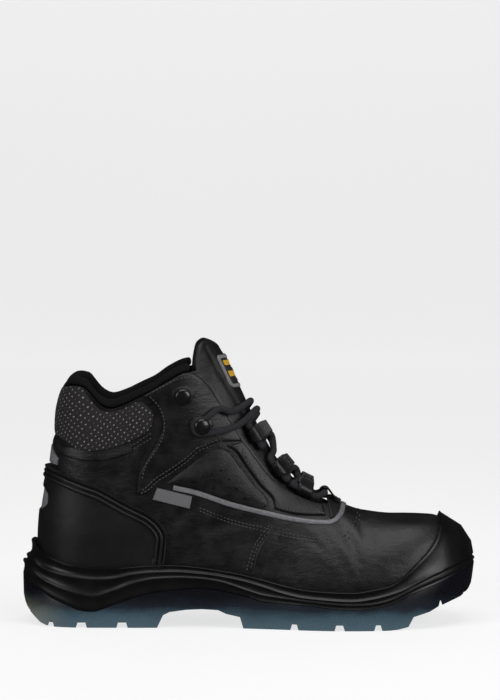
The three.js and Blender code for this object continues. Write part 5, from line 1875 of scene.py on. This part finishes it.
@dataclass
class Tongue:
    """The padded tongue, set out by how far across the foot and how high a point lies."""

    half_width: float = 31.0
    low_width: float = 18.0
    low_level: float = 0.375
    outer: float = -2.5
    pad: float = 5.0
    edge_round: float = 2.6
    seam_out: float = 20.0
    columns: int = 56
    rows: int = 84

    def __post_init__(self) -> None:
        """Reads the crest's surface once, on a grid of places along and across."""
        self.along = np.linspace(0.33, 0.76, 173)
        self.across = np.linspace(0, self.half_width + 4, 61)
        self.reads = {}
        for side in (-1.0, 1.0):
            u, gap = np.meshgrid(LAST.u(self.along), self.across, indexing="ij")
            sides = np.full(u.shape, side)
            made = LAST.point(u, sides, LAST.rise_at_gap(u, sides, gap))
            middle = LAST.station(LAST.u(self.along), np.full(len(self.along), side))["crest_y"]
            self.reads[side] = (made[..., 0], made[..., 2], middle)

    def read(self, values: Array, along: Array, across: Array) -> Array:
        """A value of the surface's grid between its points."""
        i = np.clip((along - self.along[0]) / (self.along[1] - self.along[0]), 0, len(self.along) - 1.001)
        j = np.clip(across / (self.across[1] - self.across[0]), 0, len(self.across) - 1.001)
        a, b = i.astype(int), j.astype(int)
        low = mix(values[a, b], values[a + 1, b], i - a)
        high = mix(values[a, b + 1], values[a + 1, b + 1], i - a)
        return mix(low, high, j - b)

    def surface(self, y: Array, z: Array) -> Array:
        """Points of the crest's surface at a place across and a height."""
        made = np.zeros((*y.shape, 3))
        for side, here in ((-1.0, y < 0), (1.0, y >= 0)):
            xs, zs, middle = self.reads[side]

            def across(along: Array) -> Array:
                """How far the points lie from the crest line."""
                return np.abs(y[here] - np.interp(along, self.along, middle))

            along = solve(
                lambda at: z[here] - self.read(zs, at, across(at)),
                np.full(here.sum(), self.along[0]), np.full(here.sum(), self.along[-1]), steps=26,
            )
            made[here, 0] = self.read(xs, along, across(along))
        made[..., 1] = y
        made[..., 2] = z
        return made

    def outside(self, y: Array, z: Array, distance: Array | float) -> Array:
        """Points at a distance outside the crest's surface."""
        nudge = 0.6
        base = self.surface(y, z)
        over = self.surface(y + nudge, z) - self.surface(y - nudge, z)
        up = self.surface(y, z + nudge) - self.surface(y, z - nudge)
        normal = unit(np.cross(up, over))
        normal = normal * np.where(normal[..., :1] + normal[..., 2:] < 0, -1, 1)
        return base + normal * np.broadcast_to(distance, y.shape)[..., None]

    def top(self, y: Array) -> Array:
        """The height of the tongue's top edge."""
        level = Curve([0, 12, 18, 24, 28, 31], [1.212, 1.226, 1.23, 1.21, 1.145, 1.04])
        return LAST.z(level(np.abs(y)))

    def build(self) -> bpy.types.Object:
        """Makes the padded tongue."""
        across = np.sin(np.linspace(-QUARTER, QUARTER, self.columns + 1))[:, None]
        up = (1 - np.cos(np.linspace(0, math.pi, self.rows + 1)))[None] / 2
        wide = mix(self.low_width, self.half_width, smooth(0.0, 0.22, up))
        y = across * wide
        top = self.top(y)
        low = LAST.z(self.low_level) - 0.012 * y**2
        z = mix(low, top, up)
        ends = np.minimum((1 - up) * (top - low), up * (top - low))
        gap = np.minimum((1 - np.abs(across)) * wide, ends)
        half = self.pad / 2
        swell = half * np.sqrt(np.clip(1 - (1 - np.clip(gap / self.edge_round, 0, 1)) ** 2, 0, 1))
        seam = bump(np.abs(np.abs(y) - self.seam_out + (top - z) * 0.12), 1.6) * smooth(0, 4, gap)
        puff = 1.1 * smooth(3, 14, gap) * smooth(-70, -20, z - top)
        front = self.outside(y, z, self.outer - half + swell + puff - seam * 1.1)
        back = self.outside(y, z, self.outer - half - swell)
        count = (self.columns + 1) * (self.rows + 1)
        faces = sheet_faces(self.columns + 1, self.rows + 1)
        faces += sheet_faces(self.columns + 1, self.rows + 1, True, start=count)
        thing = make_object("padded_tongue", np.concatenate([front, back]), faces)
        weld(thing, 0.02)
        dress(thing, PANEL_LEATHER, "panel_leather", "tongue")
        self.badge()
        return thing

    def badge(self) -> None:
        """Makes the blank badge: a raised rim round a dark field with three plain bars."""
        half, corner = 15.0, 4.0
        low, high = LAST.z(0.985), LAST.z(1.155)
        tall = (high - low) / 2
        y, z = np.meshgrid(np.linspace(-half, half, 73), np.linspace(low, high, 57), indexing="ij")
        insets = np.stack([half - np.abs(y), tall - np.abs(z - (low + high) / 2)], -1)
        inset = insets.min(-1)
        cut = np.clip(corner - insets, 0, None)
        inset = np.where(cut.min(-1) > 0, corner - np.linalg.norm(cut, axis=-1), inset)
        rim = smooth(0, 0.7, inset) * 1.2 - smooth(2.2, 2.9, inset) * 0.5
        bars = bump(((z - low) / (high - low) * 3 % 1) - 0.5, 0.3) ** 0.5 * smooth(4.0, 4.6, inset) * 0.45
        points = self.outside(y, z, self.outer + 0.55 + np.where(inset > 0, rim + bars, -1.2))
        uv = np.stack([inset, (z - low) / (high - low) * 30], axis=-1)
        thing = make_object("blank_badge", points, sheet_faces(73, 57), uv)
        face_front(thing)
        sharpen(thing, 40)
        dress(thing, BadgeFinish(), "badge_plastic", "tongue_badge")


def face_front(thing: bpy.types.Object) -> None:
    """Turns an open piece's faces to the toe and up."""
    if sum((p.normal.x + p.normal.z) * p.area for p in thing.data.polygons) < 0:
        thing.data.flip_normals()
    thing.data.shade_smooth()


@dataclass(frozen=True)
class BadgeFinish(Finish):
    """A grey rim and plain yellow bars on a dark field, read from how far a point lies from the edge."""

    name: str = "badge plastic"

    def paint(self, g: Graph) -> bpy.types.Material:
        """Adds the nodes and gives the material."""
        flat = g.flat()
        inset, up = g.split(flat, 0), g.split(flat, 1)
        wear = g.noise(g.place(), 0.9, 4.0, 0.6)
        field_mask = inset.step(2.5, 2.8)
        bar = up.wave(10.0).step(0.5, 0.6) * inset.step(4.0, 4.3)
        tone = g.blend(wear, (0.16, 0.155, 0.16), (0.24, 0.235, 0.24))
        tone = g.blend(field_mask, tone, (0.02, 0.019, 0.02))
        tone = g.blend(bar, tone, (0.62, 0.36, 0.02))
        normal = g.relief([(wear, 0.08)])
        return g.finish(base_color=tone, roughness=0.42, normal=normal)


@dataclass
class Lining:
    """The padded roll inside the collar, and the footbed's cloth."""

    end: float = 0.357
    section: str = """
        -28 -3.1, -12 -3.1, 0.4 -3, 1 -0.9, 3.2 -0.4, 5.4 -2.4, 6.1 -4.6, 4.9 -7.4, 1.8 -9,
        -3 -9.3, -9 -8.6,
        -18 -7, -28 -5.6"""

    def build(self, frame: dict) -> None:
        """Makes the roll and dresses the footbed."""
        heel = np.linspace(-1, 0, 26)[:-1]
        flank = np.linspace(0, float(LAST.u(self.end)), 34)
        half = np.concatenate([heel, flank])
        u = np.concatenate([half[::-1], half[1:]])
        side = np.concatenate([np.full(len(half), -1.0), np.full(len(half) - 1, 1.0)])
        profile = smooth_line(numbers(self.section), True, step=1.3, corner=88)
        s = LAST.station(u, side)
        edge = LAST.top_at(s["along"])
        shape = (len(u), len(profile))
        columns = np.broadcast_to(u[:, None], shape)
        sides = np.broadcast_to(side[:, None], shape)
        z = edge[:, None] + profile[None, :, 0]
        rise = LAST.rise_at_height(columns, sides, z)
        points = LAST.outside(columns, sides, rise, np.broadcast_to(profile[None, :, 1], shape))
        thing = make_object("lining_roll", points, pipe_faces(len(u), len(profile)))
        weld(thing, 0.01)
        dress(thing, LINING, "lining_fabric", "collar_lining")
        FINISHES.give(frame["nodes"]["insole"], FOOTBED)


@dataclass
class Hardware:
    """The lace hooks on their leather lugs, and the folded loops."""

    hooks: tuple[tuple[float, float], ...] = ((0.336, 0.952), (0.378, 0.8))
    loops: tuple[float, ...] = (0.505, 0.561, 0.622)
    bottom: float = 0.672
    lift: float = 1.95
    eye: float = 2.85
    strap: float = 1.0
    inset: float = 5.0
    wide: float = 11.0
    tail: float = 12.5
    tacks: list[tuple[Array, Array, Array]] = field(default_factory=list)

    def hook_axis(self, row: tuple[float, float], side: Side) -> tuple[Array, Array]:
        """The foot and the direction of a hook."""
        flat = DOMAIN.unroll(np.array([row])) * (side.value, 1)
        foot = DOMAIN.wrap(flat, 0.0)[0]
        return foot, unit(DOMAIN.wrap(flat, 1.0)[0] - foot)

    def hook(self, number: int, row: tuple[float, float], side: Side) -> None:
        """Makes one hook and the lug under it."""
        foot, axis = self.hook_axis(row, side)
        profile = numbers("""
            0 1.9, 3.5 1.95, 3.75 2.3, 3.5 2.75, 2.3 3.1, 1.85 3.7, 1.75 5, 1.9 6.4, 2.6 7.1, 4.4 7.45,
            5.25 7.8, 5.5 8.35, 5.3 8.95, 4.5 9.5, 3.2 9.95, 1.6 10.15, 0 10.2""")
        around = 40
        first = unit(np.cross(axis, (0.0, 0.0, 1.0)))
        second = np.cross(axis, first)
        angle = np.arange(around) * 2 * math.pi / around
        ring = first * np.cos(angle)[:, None] + second * np.sin(angle)[:, None]
        points = foot + ring[:, None] * profile[None, :, :1] + axis * profile[None, :, 1:]
        faces = sheet_faces(around, len(profile), closed=True)
        thing = make_object(f"hook_{side.label}_{number}", points, faces)
        weld(thing, 0.01, 60)
        dress(thing, Lacquer(), "hook_metal", f"lace_hook_{side.label}_{number}")
        spot = DOMAIN.unroll(np.array([row]))[0]
        turn = np.linspace(0, 2 * math.pi, 40, endpoint=False)
        blob = np.stack([7.6 * np.cos(turn) + 1.5 * np.cos(turn) ** 2, 6.6 * np.sin(turn)], axis=-1)
        lean = 0.35
        blob = blob @ np.array([(math.cos(lean), math.sin(lean)), (-math.sin(lean), math.cos(lean))])
        lug = LugPatch(f"hook_lug_{side.label}_{number}", blob + spot, 0.9, side, base=1.5, round=0.8)
        dress(lug.mesh(), LEATHER, "upper_leather")

    def loop_place(self, along: float, side: float) -> tuple[Array, Array, Array]:
        """The middle, the run and the outward direction of a loop at the throat's edge."""

        def at(place: float) -> Array:
            """The middle line of the loops."""
            return LAST.spot(place, side, LAST.throat_gap(place) - self.inset, self.lift)

        run = unit(at(along + 0.01) - at(along - 0.01))
        u, sides = np.array([LAST.u(along)]), np.array([side])
        edge = LAST.rise_at_gap(u, sides, LAST.throat_gap(along))
        normal = LAST.normal(u, sides, edge)[0]
        return at(along), run, unit(normal - run * (normal @ run))

    def bottom_place(self) -> tuple[Array, Array, Array]:
        """The middle, the forward and the outward direction of the loop at the throat's end."""
        u = np.array([LAST.u(self.bottom)])
        rise = np.array([QUARTER])
        normal = LAST.normal(u, np.array([1.0]), rise)[0]
        origin = LAST.outside(u, np.array([1.0]), rise, self.lift)[0]
        return origin, normal, unit(np.cross((0.0, 1.0, 0.0), normal))

    def loop(
        self, name: str, origin: Array, out: Array, normal: Array, depth: Array, drop: float = 0.0
    ) -> None:
        """Makes one folded strap with the lace's eye in its fold.

        Args:
            name: The piece's name, which is the end of its node's name.
            origin: The middle of the eye.
            out: The way the strap's tail points.
            normal: The way away from the foot.
            depth: The way the eye runs.
            drop: How far the tail lies under the height of the leather beside the throat.
        """
        mid = self.eye + self.strap / 2
        angle = np.radians(np.linspace(58, 312, 24))
        fold = np.stack([mid * np.cos(angle), mid * np.sin(angle)], axis=-1)
        upper = [(self.tail, 1.72), (9.0, 1.78), (5.5, 2.0), (3.3, 2.5)]
        lower = [(3.3, -1.2), (4.6, 0.2), (6.5, 0.72), (9.0, 0.74), (self.tail, 0.74)]
        line = follow(np.concatenate([upper, fold, lower]), 0.7)
        line[:, 1] -= drop * smooth(1.0, 9.0, line[:, 0])
        way = unit(np.gradient(line, axis=0))
        off = np.stack([-way[:, 1], way[:, 0]], axis=-1)
        span = np.linspace(-1, 1, 15)
        half = self.strap / 2
        rounded = half * np.sqrt(np.clip(1 - np.clip((np.abs(span) - 0.86) / 0.14, 0, 1) ** 2, 0.02, 1))
        at = line[:, 0]
        wide = self.wide / 2 * (1 - 0.24 * smooth(0.5, -4.2, at) - 0.2 * smooth(8, self.tail, at))
        rings = []
        for sign, across in ((1, span), (-1, span[::-1])):
            thick = rounded if sign > 0 else rounded[::-1]
            flat = line[:, None] + off[:, None] * thick[None, :, None] * sign
            place = origin + out * flat[..., :1] + normal * flat[..., 1:]
            rings.append(place + depth * (across[None] * wide[:, None])[..., None])
        points = np.concatenate(rings, axis=1)
        thing = make_object(name, points, pipe_faces(*points.shape[:2]))
        weld(thing, 0.02, 60)
        dress(thing, LEATHER, "upper_leather", f"lace_{name}")
        count = 4
        share = (np.arange(count) + 0.5) / count * 2 - 1
        for column in (9.0, 11.2):
            row = origin + out * column + normal * (2.3 - drop)
            spots = row + depth * share[:, None] * (self.wide / 2 - 1)
            ways = (np.broadcast_to(way, spots.shape) for way in (depth, normal))
            self.tacks.append((spots, *ways))

    def build(self) -> None:
        """Makes every hook and loop."""
        for side in Side:
            for number, row in enumerate(self.hooks, 1):
                self.hook(number, row, side)
            for number, along in enumerate(self.loops, 1):
                origin, run, normal = self.loop_place(along, side.value)
                depth = run * -side.value
                out = np.cross(normal, depth)
                self.loop(f"loop_{side.label}_{number}", origin, out, normal, depth)
        origin, normal, forward = self.bottom_place()
        self.loop("loop_bottom", origin, forward, normal, np.cross(forward, normal), drop=1.9)
        tacks = [np.concatenate(part) for part in zip(*self.tacks)]
        dress(stitch_mesh("loop_stitches", *tacks, 1.7, 0.33), Thread(), "upper_leather")


@dataclass
class LugPatch(Patch):
    """A small patch whose outline is given on the unrolled wall."""

    def edge(self) -> Array:
        """The outline's closed chain of points."""
        return smooth_line(self.outline, True) * (self.side.value, 1)


@dataclass
class Lace:
    """One round lace through the loops, across the tongue and round the lower hooks."""

    hardware: Hardware
    radius: float = 2.25
    over_tongue: float = 0.75
    over_leather: float = 5.1
    low_edge: float = 0.462
    high_edge: float = 0.444
    crossing: float = 0.512
    top: float = 0.497
    pile: float = 1.6
    turn: float = 4.3
    mouth: float = 5.5
    lead: float = 9.0

    def on_tongue(self, along: float, side: float, gap: float) -> Array:
        """A place of the lace on the tongue."""
        return LAST.spot(along, side, np.array([gap]), self.over_tongue)

    def over_edge(self, along: float, side: float) -> Array:
        """A place of the lace over the throat's edge."""
        return LAST.spot(along, side, LAST.throat_gap(along), self.over_leather)

    def lift(self, side: float) -> Array:
        """How far the upper strand of a crossing lies over the lower one."""
        return np.array((0.0, 0.0, self.pile * side + self.pile))

    def on_leather(self, along: float, level: float, side: float) -> Array:
        """A place of the lace on the quarter."""
        flat = DOMAIN.unroll(np.array([(along, level)])) * (side, 1)
        return DOMAIN.wrap(flat, self.over_leather)[0]

    def round_hook(self, side: float) -> list[Array]:
        """The turn round the lower hook's stem."""
        spot = DOMAIN.unroll(np.array([self.hardware.hooks[1]]))[0]
        made = []
        for degrees in (-75, -125, 180, 125, 75):
            angle = math.radians(degrees)
            flat = spot + (self.turn * math.cos(angle), self.turn * math.sin(angle))
            made.append(DOMAIN.wrap(flat[None] * (side, 1), self.over_leather)[0])
        return made

    def through(self, along: float, side: float) -> list[Array]:
        """The way through a loop, from the toe's end to the ankle's."""
        origin, run, _ = self.hardware.loop_place(along, side)
        return [origin + run * way for way in (self.lead, self.mouth, 0.0, -self.mouth, -self.lead)]

    def cross(self, start: float, end: float, side: float) -> list[Array]:
        """The strand from one loop to the next on the other side."""
        middle = mix(start, end, 0.5) + 0.012
        gaps = LAST.throat_gap(np.array([start, end]))
        return [
            self.on_tongue(mix(start, middle, 0.6), side, float(gaps[0]) * 0.4),
            self.on_tongue(middle, side, 0.0) + self.lift(side),
            self.on_tongue(mix(end, middle, 0.6), -side, float(gaps[1]) * 0.4),
        ]

    def half(self, side: float) -> list[Array]:
        """One half of the lace, from the bottom loop to the top bar's crest."""
        origin, _, _ = self.hardware.bottom_place()
        sideways = np.array((0.0, side, 0.0))
        points = [origin, origin + sideways * self.mouth, origin + sideways * 8.5]
        loops = self.hardware.loops[::-1]
        here = side
        for i, along in enumerate(loops):
            points += self.through(along, here)
            if i + 1 < len(loops):
                points += self.cross(along, loops[i + 1], here)
                here = -here
        points.append(self.on_tongue(self.crossing, here, 0.0) + self.lift(side))
        here = -here
        points.append(self.over_edge(self.low_edge, here))
        points.append(self.on_leather(0.43, 0.775, here))
        points += self.round_hook(here)
        points.append(self.on_leather(0.42, 0.882, here))
        points.append(self.over_edge(self.high_edge, here))
        points.append(self.on_tongue(self.top, here, 0.0))
        return points

    def build(self) -> bpy.types.Object:
        """Makes the lace."""
        first, second = self.half(-1.0), self.half(1.0)
        path = follow(np.array(first + second[-2:0:-1]), 1.0, closed=True)
        LOG.info("lace: %.0f mm in sight", travel(path)[-1])
        thing = closed_tube("round_lace", path, self.radius)
        nodes = ["lace_crossing_1", "lace_crossing_2", "lace_hook_crossing", "lace_top_bar", "lace_bottom"]
        return dress(thing, Braid(), "lace_cord", *nodes)


@dataclass(frozen=True)
class Studio:
    """The pale floor, the soft lights and the camera at the photograph's angle, in metres."""

    distance: float = 2.4
    elevation: float = math.radians(4.0)
    aim: tuple[float, float, float] = (0.0003, -0.03, 0.1853)
    view_height: float = 0.4668
    sensor: float = 24.0
    shape: float = 500 / 700
    glow: float = 0.72
    world: float = 0.015

    def camera(self) -> None:
        """Makes the camera."""
        lens = bpy.data.cameras.new("camera")
        lens.sensor_fit = "VERTICAL"
        lens.sensor_height = self.sensor
        lens.sensor_width = self.sensor * self.shape
        lens.lens = self.sensor * self.distance / self.view_height
        lens.clip_end = 50
        camera = bpy.data.objects.new("camera", lens)
        bpy.context.scene.collection.objects.link(camera)
        back = Vector((0, -math.cos(self.elevation), math.sin(self.elevation)))
        aim = Vector(self.aim)
        camera.location = aim + back * self.distance
        camera.rotation_euler = (aim - camera.location).to_track_quat("-Z", "Y").to_euler()
        bpy.context.scene.camera = camera

    def backdrop(self) -> None:
        """Makes the floor, which sweeps up into the wall behind."""
        depth, radius, height, half = 3.0, 0.6, 3.0, 4.0
        line = [(-3.5, 0.0), (depth - radius, 0.0)]
        for i in range(1, 9):
            turn = QUARTER * i / 8
            line.append((depth - radius + radius * math.sin(turn), radius - radius * math.cos(turn)))
        line.append((depth, height))
        points = np.array([(x, y, z) for x in (-half, half) for y, z in line]) / MM + FRAME_ORIGIN
        floor = make_object("floor", points, sheet_faces(2, len(line)))
        g = Graph("pale paper")
        cloud = g.noise(g.place(), 0.002, 2.0)
        tone = g.blend(cloud, (0.3, 0.3, 0.3), (0.33, 0.33, 0.33))
        white = (1.0, 1.0, 1.0)
        floor.data.materials.append(
            g.finish(base_color=tone, roughness=0.9, emission_color=white, emission_strength=self.glow)
        )
        floor.visible_glossy = False

    def light(self, name: str, power: float, size: float, place: Vector, target: Vector) -> None:
        """Makes one soft light."""
        lamp = bpy.data.lights.new(name, "AREA")
        lamp.energy = power
        lamp.size = size
        made = bpy.data.objects.new(name, lamp)
        made.location = place
        made.rotation_euler = (target - place).to_track_quat("-Z", "Y").to_euler()
        bpy.context.scene.collection.objects.link(made)

    def build(self) -> None:
        """Makes the whole studio."""
        bpy.context.scene.view_settings.view_transform = "Standard"
        self.camera()
        self.backdrop()
        world = bpy.data.worlds.new("studio")
        world.use_nodes = True
        light = world.node_tree.nodes["Background"].inputs
        light["Color"].default_value = (1, 1, 1, 1)
        light["Strength"].default_value = self.world
        bpy.context.scene.world = world
        middle = Vector((0, 0, 0.08))
        self.light("top_box", 10, 1.2, Vector((0.1, -0.3, 1.5)), middle)
        self.light("left_box", 9, 0.9, Vector((-1.3, -1.1, 0.9)), middle)
        self.light("right_box", 11, 0.9, Vector((1.3, -1.0, 0.8)), middle)


def main() -> None:
    """Builds the boot in order, round its frame."""
    logging.basicConfig(level=logging.INFO, format="%(relativeCreated)6.0f ms  %(message)s")
    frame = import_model()
    Studio().build()
    Upper().build()
    Overlays().build()
    Seams().build()
    Tongue().build()
    Lining().build(frame)
    hardware = Hardware()
    hardware.build()
    Lace(hardware).build()
    sole = Sole()
    sole.foam()
    sole.rubber()


if __name__ == "__main__":
    main()
